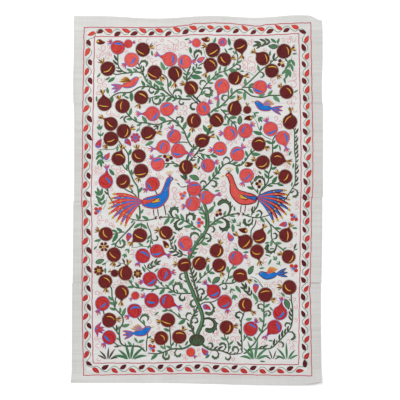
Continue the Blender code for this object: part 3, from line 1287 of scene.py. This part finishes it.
# The grass along the foot of the field: x, height, blades, thread
GRASS_LEVEL = -0.955
GRASS = (
    (-0.535, 0.090, 5, "olive"),
    (-0.400, 0.125, 6, "green"),
    (0.345, 0.120, 6, "green"),
    (0.455, 0.070, 4, "olive"),
    (0.540, 0.100, 5, "green"),
)

# Share of the large fruit that are maroon: where all three neighbours are, and what each other one adds,
# then the share of a bunch that has its own colour, and the share of the small fruit that are maroon
LEAST_MAROON = 0.19
MAROON_GAIN = 0.25
SAME_COLOUR = 0.85
SMALL_MAROON = 0.42
# Bunches of large fruit: tries, least and most gap round them, how loosely the places are ranked,
# the fruit's lift, and how far from the middle the fruit of a bunch of one, two or three hang, in radii
MOST_BUNCHES = 170
BUNCH_GAPS = (0.005, 0.019)
BUNCH_SCATTER = 0.030
FRUIT_LIFT = 0.0008
BUNCH_RINGS = {1: 0.0, 2: 1.06, 3: 1.21}
# More fruit in a bunch: how many, the room it takes, and the share of such places that get it
BUNCH_SIZES = (
    (2, 0.066, 0.50),
    (3, 0.086, 0.40),
)

# What hangs between the bunches: how far the ground has to be clear, how many at most, and the choice
FLOWERS = (
    (0.042, 34, ("spray", "spray", "fruit", "plume", "scroll")),
    (0.036, 40, ("fruit", "spray", "tulip", "rosette", "small spray", "trefoil", "scroll")),
    (0.031, 44, ("fruit", "bud", "small spray", "tulip", "trefoil", "broad", "scroll")),
    (0.026, 34, ("trefoil", "trefoil", "small spray", "scroll", "bud")),
)

# Branches: what it costs to run under fruit against bare ground, how much they strive upwards,
# a branch's least width, how it widens with the root of what it bears, and its most
FRUIT_TOLL = 20.0
BRANCH_RISE = 0.36
BRANCH_WIDTH = 0.0078
BRANCH_GAIN = 0.0020
WIDEST_BRANCH = 0.0160
STEM_LIFT = -0.0003

# Rolled shoots: points of the wood between them, shortest and longest in each try, and their leans
HOOK_STEP = 7
HOOK_LENGTHS = ((0.150, 0.185), (0.115, 0.140), (0.090, 0.105), (0.070, 0.080))
HOOK_LEANS = (0.5, 0.8, 0.3, 1.1)

# Vines: how many at most, how wide the ground is that still gets one, how much they strive upwards,
# and their widths at start and end, plain and toothed
MOST_VINES = 240
VINE_ROOM = 0.0200
VINE_RISE = 0.15
VINE_WIDTHS = (0.0062, 0.0042)
TOOTHED_VINE_WIDTHS = (0.0110, 0.0040)
# Share of the long vines that are toothed
TOOTHED_SHARE = 0.45

# Leaves and teeth on the stems: points between them, their lengths in each round,
# their widths as shares of the length, and how they lean
FOLIAGE_STEP = 5
TOOTH_STEP = 4
FOLIAGE_LENGTHS = (
    (0.072, 0.046),
    (0.063, 0.041),
    (0.055, 0.036),
    (0.047, 0.031),
    (0.039, 0.026),
    (0.031, 0.022),
)
LEAF_WIDTHS = (0.36, 0.45)
TOOTH_WIDTH = 0.32
LEAF_LEANS = (0.60, 0.45, 0.80, 1.1)
TOOTH_LEANS = (0.70, 0.95)
TIP_LEANS = (0.0, 0.4, -0.4)

# What fills the ground that is left: how far it has to be clear, how many tries, and what is sewn
SCROLLS = (
    (0.014, 900, lambda: tendril(some(0.072, 0.100), either() * some(5.0, 7.5))),
    (0.010, 1200, lambda: tendril(some(0.050, 0.072), either() * some(4.5, 7.0))),
    (0.010, 300, lambda: [leaf("green", 0j, 0.0, some(0.030, 0.044), some(0.011, 0.014), some(-0.5, 0.5))]),
)


def field_plan():
    """A plan with everything outside the inner red line taken."""
    plan = Plan(-0.70 - 1.06j, 0.70 + 1.07j)
    centres = plan.centres()
    left, right = side_line("left", 2)[::-1], side_line("right", 2)[::-1]
    top, bottom = side_line("top", 2), side_line("bottom", 2)
    plan.inside = centres.real > np.interp(centres.imag, left.imag, left.real) + FIELD_MARGIN
    plan.inside &= centres.real < np.interp(centres.imag, right.imag, right.real) - FIELD_MARGIN
    plan.inside &= centres.imag < np.interp(centres.real, top.real, top.imag) - FIELD_MARGIN
    plan.inside &= centres.imag > np.interp(centres.real, bottom.real, bottom.imag) + FIELD_MARGIN
    plan.taken |= ~plan.inside
    return plan


def tree_lines():
    """The stems up the middle, the boughs for the large birds and the roots, with widths at start and end."""
    knots_and_widths = (
        (TRUNK_KNOTS, 0.027, 0.011),
        (TWINER_KNOTS, 0.014, 0.008),
        *((bough, 0.012, 0.007) for bough in BOUGHS),
        *((root, 0.015, 0.006) for root in ROOTS),
    )
    return [(through(knots), start_width, end_width) for knots, start_width, end_width in knots_and_widths]


def sew_foot(plan):
    """The mound of the tree, with the grass along the foot of the field."""
    mound = MOUND_RADIUS * around(40)
    mound = MOUND_CENTRE + mound.real + MOUND_SQUASH * 1j * mound.imag
    sew([Stroke("olive", mound, tone=0.4)], plan)
    sew([Stroke("moss", mound, 0.0020, closed=True, tone=0.4, lift=0.0003)])
    for k in range(-2, 3):
        heading, length = math.pi / 2 - 0.33 * k, 0.058 - 0.004 * abs(k)
        sew([leaf("moss", complex(0.006 * k, -0.869), heading, length, 0.010, lift=0.0006)])
    for x, height, blades, thread in GRASS:
        sew(moved(clump(height, blades, thread), complex(x, GRASS_LEVEL)), plan)


def fruit_colour(at, others):
    """Mostly maroon, less often where what hangs close by is. Else red at the left and the foot, or coral."""
    close = sorted(others, key=lambda other: abs(other[0] - at))[:3]
    if chance.random() < LEAST_MAROON + MAROON_GAIN * sum(colour != "maroon" for _, colour in close):
        return "maroon"
    return "red" if at.imag < -0.35 or at.real + 0.25 * at.imag < -0.18 else "coral"


def bunch(node, colour, count):
    """One large fruit, or two or three round a node."""
    strokes = []
    turn = some(0.0, 2 * math.pi)
    for k in range(count):
        direction = turn + 2 * math.pi * k / count
        own = colour if chance.random() < SAME_COLOUR else "maroon"
        heading = turned(math.degrees(direction) + some(-40, 40))
        tone = zone_tone(node)
        tone = 1.0 - 0.8 * tone if own == "maroon" else tone
        shape = fruit(FRUIT_RADIUS * some(0.98, 1.06), own, tone)
        strokes += moved(shape, node + BUNCH_RINGS[count] * FRUIT_RADIUS * np.exp(1j * direction), heading)
    for stroke in strokes:
        stroke.lift += FRUIT_LIFT
    return strokes


def sew_bunches(plan):
    """Bunches of large fruit, wherever there is room. Returns each bunch's node and all their strokes."""
    worked, hung = [], []
    for _ in range(MOST_BUNCHES):
        clear = plan.clearance(0.125)
        rank = clear + chance.uniform(0.0, BUNCH_SCATTER, plan.shape)
        row, column = np.unravel_index(np.argmax(rank), plan.shape)
        room = clear[row, column] - some(*BUNCH_GAPS)
        if clear[row, column] < FRUIT_RADIUS + BUNCH_GAPS[0]:
            break
        if room < FRUIT_RADIUS + 0.002:
            continue
        node = plan.centre(row, column)
        colour = fruit_colour(node, hung)
        count = 1
        for more, least_room, share in BUNCH_SIZES:
            if room > least_room and chance.random() < share:
                count = more
        for _ in range(12):
            strokes = bunch(node, colour, count)
            if plan.clear(strokes):
                break
        else:
            plan.taken[row, column] = True
            continue
        sew(strokes, plan, solid=True)
        worked += strokes
        hung.append((node, colour))
    return [node for node, _ in hung], worked


def growth_map(plan, toll, lines, rise):
    """How stems grow cheapest from some lines: each cell's cost, and the cell that it grows from. rise is
    how much less a step upwards costs."""
    columns = plan.shape[1]
    tolls = toll.ravel().tolist()
    cost = [math.inf] * len(tolls)
    parent = [-1] * len(tolls)
    row, column = plan.cells(np.concatenate(lines))
    starts = set((row * columns + column).tolist())
    for spot in starts:
        cost[spot] = 0.0
    queue = [(0.0, spot) for spot in sorted(starts)]
    steps = [(up, over) for up in (-1, 0, 1) for over in (-1, 0, 1) if up or over]
    moves = [(up * columns + over, math.hypot(up, over) - rise * up) for up, over in steps]
    while queue:
        so_far, spot = heapq.heappop(queue)
        if so_far > cost[spot]:
            continue
        for shift, share in moves:
            near = spot + shift
            total = so_far + share * tolls[near]
            if total < cost[near]:
                cost[near] = total
                parent[near] = spot
                heapq.heappush(queue, (total, near))
    return cost, parent


def path_back(parent, spot, reached):
    """The cells from the first one reached already, or else from the start, to a cell."""
    path = [spot]
    while parent[path[-1]] >= 0 and path[-1] not in reached:
        path.append(parent[path[-1]])
    reached.update(path)
    return path[::-1]


def ground_toll(plan, blocked, over_blocked):
    """What growing over each cell costs: more close to fruit, and with wide bends between."""
    row, column = np.mgrid[0 : plan.shape[0], 0 : plan.shape[1]]
    meander = np.sin(row * 0.15 + 2.0 * np.sin(column * 0.085))
    meander = meander * np.sin(column * 0.135 + 1.7 * np.sin(row * 0.065))
    toll = 1.0 + 2.5 * np.exp(-steps_inside(plan.inside & ~blocked, 10) / 3.0) + 0.7 * meander
    return np.where(plan.inside, np.where(blocked, over_blocked, toll), math.inf)


def spot_of(plan, point):
    row, column = plan.cells(np.array([point]))
    return int(row[0]) * plan.shape[1] + int(column[0])


def line_of(plan, path):
    return plan.centre(*np.divmod(np.array(path), plan.shape[1]))


def smoothed(line, window):
    """A line with its steps rounded off and its ends kept."""
    padded = np.concatenate([np.full(window, line[0]), line, np.full(window, line[-1])])
    weights = np.hanning(2 * window + 3)[1:-1]
    return np.convolve(padded, weights / weights.sum(), "valid")


def joined(line, drawn):
    """A line whose start is moved on to the nearest point of what is drawn."""
    wood = np.concatenate(drawn)
    line[0] = wood[np.argmin(np.abs(wood - line[0]))]
    return line


def sew_runs(plan, line, width, shortest, lift, drawn):
    """A stem of two tones, but for where fruit lies on it. Adds what is drawn to drawn."""
    for part in plan.clear_runs(line, shortest):
        own = width[part] / 2 * tapered(part.stop - part.start, 1.0)
        sew_stems(two_tone(line[part], own, lift), plan)
        drawn.append(line[part])


def sew_wood(plan, lines, nodes):
    """The trunk, its boughs and the branches that grow from them to every node. Returns the drawn lines."""
    drawn = []
    for order, (line, start_width, end_width) in enumerate(lines):
        width = np.linspace(start_width, end_width, len(line))
        sew_runs(plan, line, width, 3, 0.0003 * (order % 2) - 0.0002, drawn)
    starts = [line[8:] for line, _, _ in lines]
    cost, parent = growth_map(plan, ground_toll(plan, plan.solid, FRUIT_TOLL), starts, BRANCH_RISE)
    spots = sorted((spot_of(plan, node) for node in nodes), key=lambda spot: -cost[spot])
    load = {}
    for spot in spots:
        while spot >= 0:
            load[spot] = load.get(spot, 0) + 1
            spot = parent[spot]
    reached = set()
    for spot in spots:
        path = path_back(parent, spot, reached)
        if len(path) < 5:
            continue
        line = joined(respaced(smoothed(line_of(plan, path), 7), 0.006), drawn)
        loads = np.array([load[cell] for cell in path], float)
        loads = np.interp(np.linspace(0, 1, len(line)), np.linspace(0, 1, len(loads)), loads)
        width = np.minimum(BRANCH_WIDTH + BRANCH_GAIN * np.sqrt(loads), WIDEST_BRANCH)
        sew_runs(plan, line, width, 2, STEM_LIFT, drawn)
    return drawn


def sew_hooks(plan, drawn):
    """Rolled shoots along the wood, now on one side, now on the other."""
    side = 1
    for run in drawn:
        forward = along_line(run)
        for at in range(3, len(run) - 1, HOOK_STEP):
            side = -side
            headings = np.angle(forward[at]) + side * np.array(HOOK_LEANS)
            for length in [some(*lengths) for lengths in HOOK_LENGTHS]:
                curl = one_of((1, -1, side)) * some(3.6, 5.2)
                if sew_rooted(plan, hook(length, curl, chance.random() < 0.6), run[at], headings):
                    break


def filler_colour(at):
    if chance.random() < SMALL_MAROON:
        return "maroon"
    return "red" if at.imag < -0.3 or abs(at.real) > 0.3 else "coral"


def flower(kind, colour):
    """A small fruit or flower that grows from 0 along +x."""
    if kind == "fruit":
        radius = SMALL_FRUIT_RADIUS * some(0.92, 1.10)
        return moved(fruit(radius, colour), radius + 0j)
    if kind == "tulip":
        return tulip(some(0.056, 0.066), colour)
    if kind == "rosette":
        radius = some(0.028, 0.034)
        return moved(rosette(radius, colour), radius + 0j)
    if kind == "trefoil":
        return trefoil(some(0.033, 0.038), colour)
    green = one_of(("green", "fern"))
    if kind == "spray":
        return spray(some(0.115, 0.150), one_of((2, 3, 3)), green)
    if kind == "plume":
        return spray(some(0.110, 0.140), 3, green, toothed=True)
    if kind == "small spray":
        return spray(some(0.075, 0.095), 2, green)
    if kind == "broad":
        return broad_leaf(some(0.058, 0.074), green)
    if kind == "scroll":
        return tendril(some(0.100, 0.150), either() * some(5.5, 8.0))
    return bud(some(0.056, 0.068), colour)


def sew_flowers(plan):
    """Small fruit and flowers in the wide places. Returns where their stems have to reach."""
    roots = []
    for clear, most, kinds in FLOWERS:
        placed = 0
        for _ in range(3 * most):
            room = plan.clearance(clear + 0.012) + chance.uniform(0.0, 0.010, plan.shape)
            row, column = np.unravel_index(np.argmax(room), plan.shape)
            if room[row, column] < clear or placed >= most:
                break
            at = plan.centre(row, column)
            kind = one_of(kinds)
            root = sew_centred(plan, flower(kind, filler_colour(at)), at, tries=12)
            if root is None:
                plan.taken[row, column] = True
            else:
                placed += 1
                if kind != "scroll":
                    roots.append(root)
    return roots


def sew_vine(plan, line, kind, vines):
    """One thin stem, but for where fruit lies on it. One that bears teeth is thick at its root."""
    for part in plan.clear_runs(line, 2):
        run = line[part]
        if kind == "tooth":
            own = np.linspace(*TOOTHED_VINE_WIDTHS, len(run)) / 2 * tapered(len(run), 1.0)
            strokes = two_tone(run, own, STEM_LIFT)
        else:
            strokes = [stem("moss", run, *VINE_WIDTHS, some(0.2, 1.0), STEM_LIFT)]
        sew_stems(strokes, plan)
        vines.append((run, kind))


def sew_vines(plan, wood, roots):
    """Thin stems from the wood to every flower and to wherever the ground is still wide, and their lines."""
    cost, parent = growth_map(plan, ground_toll(plan, plan.taken & ~plan.stems, math.inf), wood, VINE_RISE)
    reached, vines = set(), []

    def grow(path, kind):
        line = respaced(smoothed(line_of(plan, path), 5), 0.005)
        sew_vine(plan, joined(line, wood + [run for run, _ in vines]), kind, vines)
        return line

    for root in sorted(roots, key=lambda root: cost[spot_of(plan, root)]):
        spot = spot_of(plan, root)
        if math.isinf(cost[spot]):
            continue
        path = path_back(parent, spot, reached)
        if len(path) > 3:
            grow(path, "leaf")
    open_ground = ~plan.taken & ~plan.stems
    for _ in range(MOST_VINES):
        depth = steps_inside(open_ground, 12) + chance.uniform(0.0, 1.0, plan.shape)
        spot = int(np.argmax(depth))
        if depth.flat[spot] < VINE_ROOM / plan.CELL:
            break
        row, column = divmod(spot, plan.shape[1])
        open_ground[row - 1 : row + 2, column - 1 : column + 2] = False
        if math.isinf(cost[spot]):
            continue
        path = path_back(parent, spot, reached)
        if len(path) < 6:
            continue
        kind = "tooth" if len(path) > 11 and chance.random() < TOOTHED_SHARE else "leaf"
        open_ground[plan.cells(grow(path, kind))] = False
    return vines


def foliage_places(line, kind, tip=True):
    """Where leaves or teeth can grow on a stem: root, heading, side, kind, thread and tone."""
    forward = np.angle(along_line(line))
    tone = some(0.0, 1.0)
    thread = one_of(("green", "fern"))
    side = either()
    paired = chance.random() < (0.3 if kind == "tooth" else 0.5)
    places = [(line[-1], forward[-1], 0, "leaf", thread, tone)] if tip else []
    for at in range(len(line) - 2, 1, -(TOOTH_STEP if kind == "tooth" else FOLIAGE_STEP)):
        side = side if kind == "tooth" else -side
        for own in ((side, -side) if paired else (side,)):
            places.append((line[at], forward[at], own, kind, thread, tone))
    return places


def tooth(root, heading, length, width, bend, tone):
    """A pointed tooth with a dark edge and a green heart."""
    edge = leaf("olive", root, heading, length, width, bend, tone)
    return [edge, leaf("moss", root, heading, length * 0.78, width * 0.45, bend, tone, HEART_LIFT)]


def foliage(kind, thread, root, heading, length, bend, tone):
    """One leaf or one tooth."""
    if kind == "leaf":
        return [leaf(thread, root, heading, length, length * some(*LEAF_WIDTHS), bend, tone)]
    return tooth(root, heading, length, length * TOOTH_WIDTH, bend, tone)


def sew_foliage(plan, places):
    """Leaves and teeth along the stems, the largest first, each where it lies clear."""
    for leaf_length, tooth_length in FOLIAGE_LENGTHS:
        bare = []
        for root, heading, side, kind, thread, tone in places:
            length = (leaf_length if kind == "leaf" else tooth_length) * some(0.92, 1.08)
            bend = (side or either()) * (some(-0.7, 0.2) if kind == "leaf" else some(-1.0, -0.3))
            leans = TIP_LEANS if side == 0 else (LEAF_LEANS if kind == "leaf" else TOOTH_LEANS)
            for lean in leans:
                shape = foliage(kind, thread, root, heading + (side or 1) * lean, length, bend, tone)
                if plan.clear(shape, root):
                    sew(shape, plan, 0)
                    break
            else:
                bare.append((root, heading, side, kind, thread, tone))
        places = bare


def sew_scrolls(plan):
    """Fine pink scrolls on the ground that is left, and a last few leaves."""
    for clear, tries, shape in SCROLLS:
        cells = np.argwhere(plan.clearance(clear) >= clear - 0.5 * plan.CELL)
        chance.shuffle(cells)
        for row, column in cells[:tries]:
            sew_centred(plan, shape(), plan.centre(row, column), 10)


# Seams and hem

SEAM_STITCH_STEP = 0.009
SEAM_SLANT = 1.1
HEM_STITCH_STEP = 0.018
# Mends in brown thread at a seam, and a brown line at the lower hem that is painted shadow under the curled
# corner: both ends as shares across and down, with their shift
BROWN_STITCHING_AND_PAINTED_SHADOW = (
    ((0.953, 0.7285, -0.0045), (0.999, 0.7285, -0.0045)),
    ((0.938, 0.9975, -0.0045), (0.996, 0.9975, -0.0045)),
)


def sew_stitch(at, heading, length, lift):
    """One plain stitch of undyed thread."""
    sew([leaf("undyed", at, heading, length, 0.0020, 0.0, 0.5, lift)])


def sew_ground():
    """The slanting stitches that join the widths of cloth, and the running stitch that holds the hem."""
    for _, _, lower, shift in PANELS[:-1]:
        for across in np.arange(0.004, 0.996, SEAM_STITCH_STEP / WIDTH):
            at = complex(place(across + some(-0.0005, 0.0005), lower, shift))
            start = at - 0.0030 * np.exp(1j * (SEAM_SLANT + some(-0.2, 0.2)))
            sew_stitch(start, SEAM_SLANT, 0.0062, SEAM_DIP - 0.0005)
    # The line at the lower hem is painted shadow under the curled corner, sewn as brown thread.
    for start, end in BROWN_STITCHING_AND_PAINTED_SHADOW:
        line = np.array([complex(place(across, down, shift)) for across, down, shift in (start, end)])
        run = respaced(line, 0.006)
        sew([Stroke("brown", run, tapered(len(run), 0.0009), tone=0.6, lift=0.0004)])
    inset = HEM_WIDTH - 0.003
    for _, upper, lower, shift in PANELS:
        for down in np.arange(upper + 0.002, lower - 0.002, HEM_STITCH_STEP / LENGTH):
            for across in (inset / WIDTH, 1.0 - inset / WIDTH):
                sew_stitch(complex(place(across, down, shift)), -math.pi / 2, 0.0070, HEM_EXTRA - 0.0002)
    for across in np.arange(0.01, 0.99, HEM_STITCH_STEP / WIDTH):
        for down, shift in ((inset / LENGTH, PANELS[0][3]), (1.0 - inset / LENGTH, PANELS[-1][3])):
            sew_stitch(complex(place(across, down, shift)), 0.0, 0.0070, HEM_EXTRA - 0.0002)


def embroider():
    """All the needlework."""
    plan = field_plan()
    sew(red_lines() + border_vine())
    sew_foot(plan)
    birds = [
        moved(peafowl("blue", "red", "coral"), PERCH_LEFT, PEAFOWL_SIZE),
        moved(peafowl("coral", "maroon", "blue"), PERCH_RIGHT, PEAFOWL_SIZE, mirrored=True),
    ]
    for at, degrees, mirrored, colours in SONGBIRDS:
        birds.append(moved(songbird(*colours), at, SONGBIRD_SIZE * turned(degrees), mirrored))
    for bird in birds:
        sew(bird, plan, reach=2, solid=True)
    lines = tree_lines()
    kept = plan.taken.copy()
    for order, (line, width, _) in enumerate(lines):
        bare = line[line.imag < BARE_TRUNK] if order < 2 else line
        plan.take([Stroke("moss", bare, width * 0.9)])
    nodes, bunches = sew_bunches(plan)
    plan.taken = kept
    plan.take(bunches, 0)
    wood = sew_wood(plan, lines, nodes)
    sew_hooks(plan, wood)
    roots = sew_flowers(plan)
    vines = sew_vines(plan, wood, roots)
    places = []
    for line, kind in vines:
        places += foliage_places(line, kind)
    for line in wood:
        places += foliage_places(line, one_of(("leaf", "leaf", "tooth")), tip=False)
    sew_foliage(plan, places)
    sew_scrolls(plan)


# Materials

# Darker bars in the weft: height on the cloth, half width, centre across, reach to the sides, how much darker
WEFT_BARS = (
    (0.752, 0.012, 0.620, 0.300, 0.10),
    (0.645, 0.005, 0.600, 0.300, 0.07),
    (0.610, 0.008, 0.600, 0.400, 0.09),
    (0.416, 0.006, 0.600, 0.200, 0.06),
    (0.330, 0.006, -0.600, 0.300, 0.09),
    (0.048, 0.006, 0.600, 0.300, 0.09),
    (-0.036, 0.008, -0.600, 0.400, 0.09),
    (-0.524, 0.004, 0.600, 0.250, 0.12),
    (-0.628, 0.006, -0.640, 0.250, 0.06),
    (-0.300, 0.010, 0.100, 0.700, 0.05),
    (0.890, 0.006, -0.300, 0.600, 0.05),
    (-0.820, 0.007, 0.300, 0.600, 0.05),
)
# Painted shade: how much darker the side margins are, and how much darker the two ends are than the field, as
# the light falls on the cloth
PAINTED_MARGIN_SHADE = 0.19
PAINTED_END_SHADE = 0.11
# Where the margins begin: from the middle across, and from the middle along
SIDE_MARGIN = 0.66
END_MARGIN = 1.02

THREAD_SURFACE = {
    "Roughness": 0.50,
    "Specular IOR Level": 0.14,
    "Sheen Weight": 0.02,
    "Sheen Roughness": 0.35,
}
CLOTH_SURFACE = {
    "Roughness": 0.78,
    "Specular IOR Level": 0.25,
    "Sheen Weight": 0.10,
}
# Painted shade in the valleys between rows: its colour, as a share of the dye, how much of it shows, and how
# steeply it gathers towards the valleys
VALLEY_PAINTED_SHADE = (0.42, 0.40, 0.40, 1.0)
VALLEY_SHADE_SHARE = 0.55
VALLEY_SHADE_STEEPNESS = 4.0
# A link's two strands: how far they bow out, as a share of the row, and how fast each falls off
STRAND_SPREAD = 0.26
STRAND_FADE = 5.0
# The relief of the links: its strength and its height in metres
THREAD_RELIEF = (0.55, 0.0005)
# How far the dye varies from shape to shape, together with the painted rim shade that the tone carries, and
# along the thread, and how its streaks lie on the stitch map
LOT_SHARE = 0.60
STREAK_SHARE = 1.90
STREAK_STRETCH = (0.16, 0.60, 1.0)
DYE_START = 0.75
# The ground's darkest and brightest colour, with their places on the ramp
GROUND_RAMP = (
    (0.22, (0.420, 0.413, 0.395, 1.0)),
    (0.90, (0.680, 0.678, 0.666, 1.0)),
)
WEAVE_SCALE = 1100.0


class Nodes:
    """A new material, with short ways to add nodes and to join them."""

    def __init__(self, name):
        self.material = bpy.data.materials.new(name)
        self.material.use_nodes = True
        self.tree = self.material.node_tree

    def feed(self, node, inputs):
        """Gives a node's sockets their values, or links them."""
        for socket, value in inputs.items():
            if isinstance(value, bpy.types.NodeSocket):
                self.tree.links.new(value, node.inputs[socket])
            else:
                node.inputs[socket].default_value = value

    def add(self, kind, inputs, **settings):
        node = self.tree.nodes.new("ShaderNode" + kind)
        for setting, value in settings.items():
            setattr(node, setting, value)
        self.feed(node, inputs)
        return node

    def math(self, operation, first, second=0.5):
        return self.add("Math", {0: first, 1: second}, operation=operation).outputs[0]

    def noise(self, vector, stretch, scale, detail):
        """Noise over a vector that is stretched first."""
        mapping = self.add("Mapping", {0: vector, "Scale": stretch})
        inputs = {"Vector": mapping.outputs[0], "Scale": scale, "Detail": detail}
        return self.add("TexNoise", inputs).outputs["Fac"]

    def finished(self, colour, height, strength, distance, surface):
        """The material, with a colour, a relief and the surface's own values."""
        bump_node = self.add("Bump", {"Strength": strength, "Distance": distance, "Height": height})
        shader = self.tree.nodes["Principled BSDF"]
        self.feed(shader, {"Base Color": colour, "Normal": bump_node.outputs[0], **surface})
        return self.material


def thread_material(name, deep, bright):
    """Silk chain stitch: dye that varies from lot to lot and along the thread, its looped links, and painted
    shade in the valleys between rows and at each shape's rim.
    """
    nodes = Nodes(name)
    node = nodes.math
    # The tone attribute holds each shape's dye lot and its painted rim shade.
    tone = nodes.add("Attribute", {}, attribute_name="tone").outputs["Fac"]
    stitch = nodes.add("UVMap", {}, uv_map="stitch").outputs[0]
    split = nodes.add("SeparateXYZ", {0: stitch})
    link_share = node("FRACT", split.outputs[0])
    row_share = node("FRACT", split.outputs[1])
    from_middle = node("ABSOLUTE", node("SUBTRACT", row_share, 0.5))
    loop = node("SINE", node("MULTIPLY", link_share, math.pi))
    from_strand = node("ABSOLUTE", node("SUBTRACT", from_middle, node("MULTIPLY", loop, STRAND_SPREAD)))
    strand = node("EXPONENT", node("MULTIPLY", from_strand, -STRAND_FADE))
    streaks = nodes.noise(stitch, STREAK_STRETCH, 0.9, 3.0)
    dye_share = node("ADD", node("MULTIPLY", tone, LOT_SHARE), node("MULTIPLY", streaks, STREAK_SHARE))
    inputs = {"A": (*deep, 1.0), "B": (*bright, 1.0), "Factor": node("SUBTRACT", dye_share, DYE_START)}
    dye = nodes.add("Mix", inputs, data_type="RGBA")
    # Painted shade: the valleys between rows are darkened towards the valley colour.
    valley_shade_mask = node("POWER", node("MULTIPLY", from_middle, 2.0), VALLEY_SHADE_STEEPNESS)
    depth = node("MULTIPLY", valley_shade_mask, VALLEY_SHADE_SHARE)
    inputs = {"A": dye.outputs["Result"], "B": VALLEY_PAINTED_SHADE, "Factor": depth}
    painted_shade = nodes.add("Mix", inputs, data_type="RGBA", blend_type="MULTIPLY")
    return nodes.finished(painted_shade.outputs["Result"], strand, *THREAD_RELIEF, THREAD_SURFACE)


def cloth_material():
    """Handwoven silk and cotton: uneven warp and weft, slubs, weft bars, and margins darkened by painted
    shade.
    """
    nodes = Nodes("ground_cloth")
    node = nodes.math
    place_on = nodes.add("TexCoord", {}).outputs["Object"]
    split = nodes.add("SeparateXYZ", {0: place_on})
    across, up = split.outputs["X"], split.outputs["Y"]

    def streaks(stretch, detail, share):
        return node("MULTIPLY", nodes.noise(place_on, stretch, 1.0, detail), share)

    def hump(value, centre, reach):
        """1 at the centre, falling off softly to a third at reach."""
        offset = node("DIVIDE", node("SUBTRACT", value, centre), reach)
        return node("EXPONENT", node("MULTIPLY", node("MULTIPLY", offset, offset), -1.0))

    warp = streaks((95.0, 1.3, 1.0), 3.0, 0.16)
    weft = streaks((1.6, 130.0, 1.0), 3.0, 0.28)
    bands = streaks((1.1, 42.0, 1.0), 2.0, 0.34)
    broad = streaks((4.0, 3.0, 1.0), 3.0, 0.26)
    blend = node("ADD", node("ADD", warp, weft), node("ADD", bands, broad))
    for level, half_width, centre, reach, darker in WEFT_BARS:
        bar = node("MULTIPLY", hump(up, level, half_width), hump(across, centre, reach))
        blend = node("SUBTRACT", blend, node("MULTIPLY", bar, darker))
    # Painted shade: the side margins are left darker than the field, and the ends are darkened.
    middle = node("LESS_THAN", node("ABSOLUTE", across), SIDE_MARGIN)
    ends = node("GREATER_THAN", node("ABSOLUTE", up), END_MARGIN)
    blend = node("ADD", blend, node("MULTIPLY", node("MAXIMUM", middle, ends), PAINTED_MARGIN_SHADE))
    blend = node("SUBTRACT", blend, node("MULTIPLY", ends, PAINTED_END_SHADE))
    ramp = nodes.add("ValToRGB", {"Fac": blend})
    for element, (position, colour) in zip(ramp.color_ramp.elements, GROUND_RAMP):
        element.position = position
        element.color = colour
    weave = nodes.add("TexChecker", {"Vector": place_on, "Scale": WEAVE_SCALE}).outputs["Fac"]
    threads = node("MULTIPLY", node("ADD", warp, weft), 2.4)
    height = node("ADD", threads, node("MULTIPLY", weave, 0.35))
    return nodes.finished(ramp.outputs["Color"], height, 0.45, 0.0006, CLOTH_SURFACE)


# Stage

# What the camera looks down on, and how wide a strip of the floor it sees
CAMERA_CENTRE = 0.0186 + 0.0024j
VIEW_WIDTH = 2.400
LENS = 85.0
SENSOR = 36.0
FLOOR_HALF = 12.0
FLOOR_DROP = 0.0005
FLOOR_SURFACE = {"Base Color": (0.96, 0.96, 0.96, 1.0), "Roughness": 0.9}
WORLD_STRENGTH = 0.98
KEY_SIZE = 1.6
KEY_POWER = 66.0
KEY_PLACE = (-1.4, 2.3, 4.1)
KEY_TARGET = (0.1, -0.1, 0.0)


def add_camera():
    """Looks straight down at the cloth, its upper end up, as the photograph does."""
    camera = bpy.data.objects.new("camera", bpy.data.cameras.new("camera"))
    camera.data.lens = LENS
    camera.data.sensor_width = SENSOR
    camera.location = (CAMERA_CENTRE.real, CAMERA_CENTRE.imag, VIEW_WIDTH * LENS / SENSOR)
    bpy.context.scene.collection.objects.link(camera)
    bpy.context.scene.camera = camera


def add_stage():
    """A pale floor under plain soft light."""
    scene = bpy.context.scene
    nodes = Nodes("floor")
    nodes.feed(nodes.tree.nodes["Principled BSDF"], FLOOR_SURFACE)
    sides = ((-1, -1), (1, -1), (1, 1), (-1, 1))
    corners = np.array([(x * FLOOR_HALF, y * FLOOR_HALF, -FLOOR_DROP) for x, y in sides])
    floor = make_mesh("floor", corners, np.array([[0, 1, 2, 3]]), np.empty((0, 3), int))
    floor.data.materials.append(nodes.material)
    world = bpy.data.worlds.new("studio")
    world.use_nodes = True
    background = world.node_tree.nodes["Background"]
    background.inputs[0].default_value = (1.0, 1.0, 1.0, 1.0)
    background.inputs[1].default_value = WORLD_STRENGTH
    scene.world = world
    lamp = bpy.data.lights.new("key", "AREA")
    lamp.size = KEY_SIZE
    lamp.energy = KEY_POWER
    key = bpy.data.objects.new("key", lamp)
    key.location = KEY_PLACE
    key.rotation_euler = (Vector(KEY_TARGET) - key.location).to_track_quat("-Z", "Y").to_euler()
    scene.collection.objects.link(key)
    scene.view_settings.view_transform = "Standard"


def main():
    add_camera()
    cloth = cloth_material()
    for name, upper, lower, shift in PANELS:
        sheet = build_sheet("cloth_" + name, upper, lower, shift, cloth)
        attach(sheet, "root")
        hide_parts(name)
    embroider()
    sew_ground()
    for name, thread in THREADS.items():
        slot, deep, bright = DYES[name]
        piece = thread.finished("thread_" + name, thread_material("thread_" + name, deep, bright))
        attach(piece, "root")
    add_stage()


main()
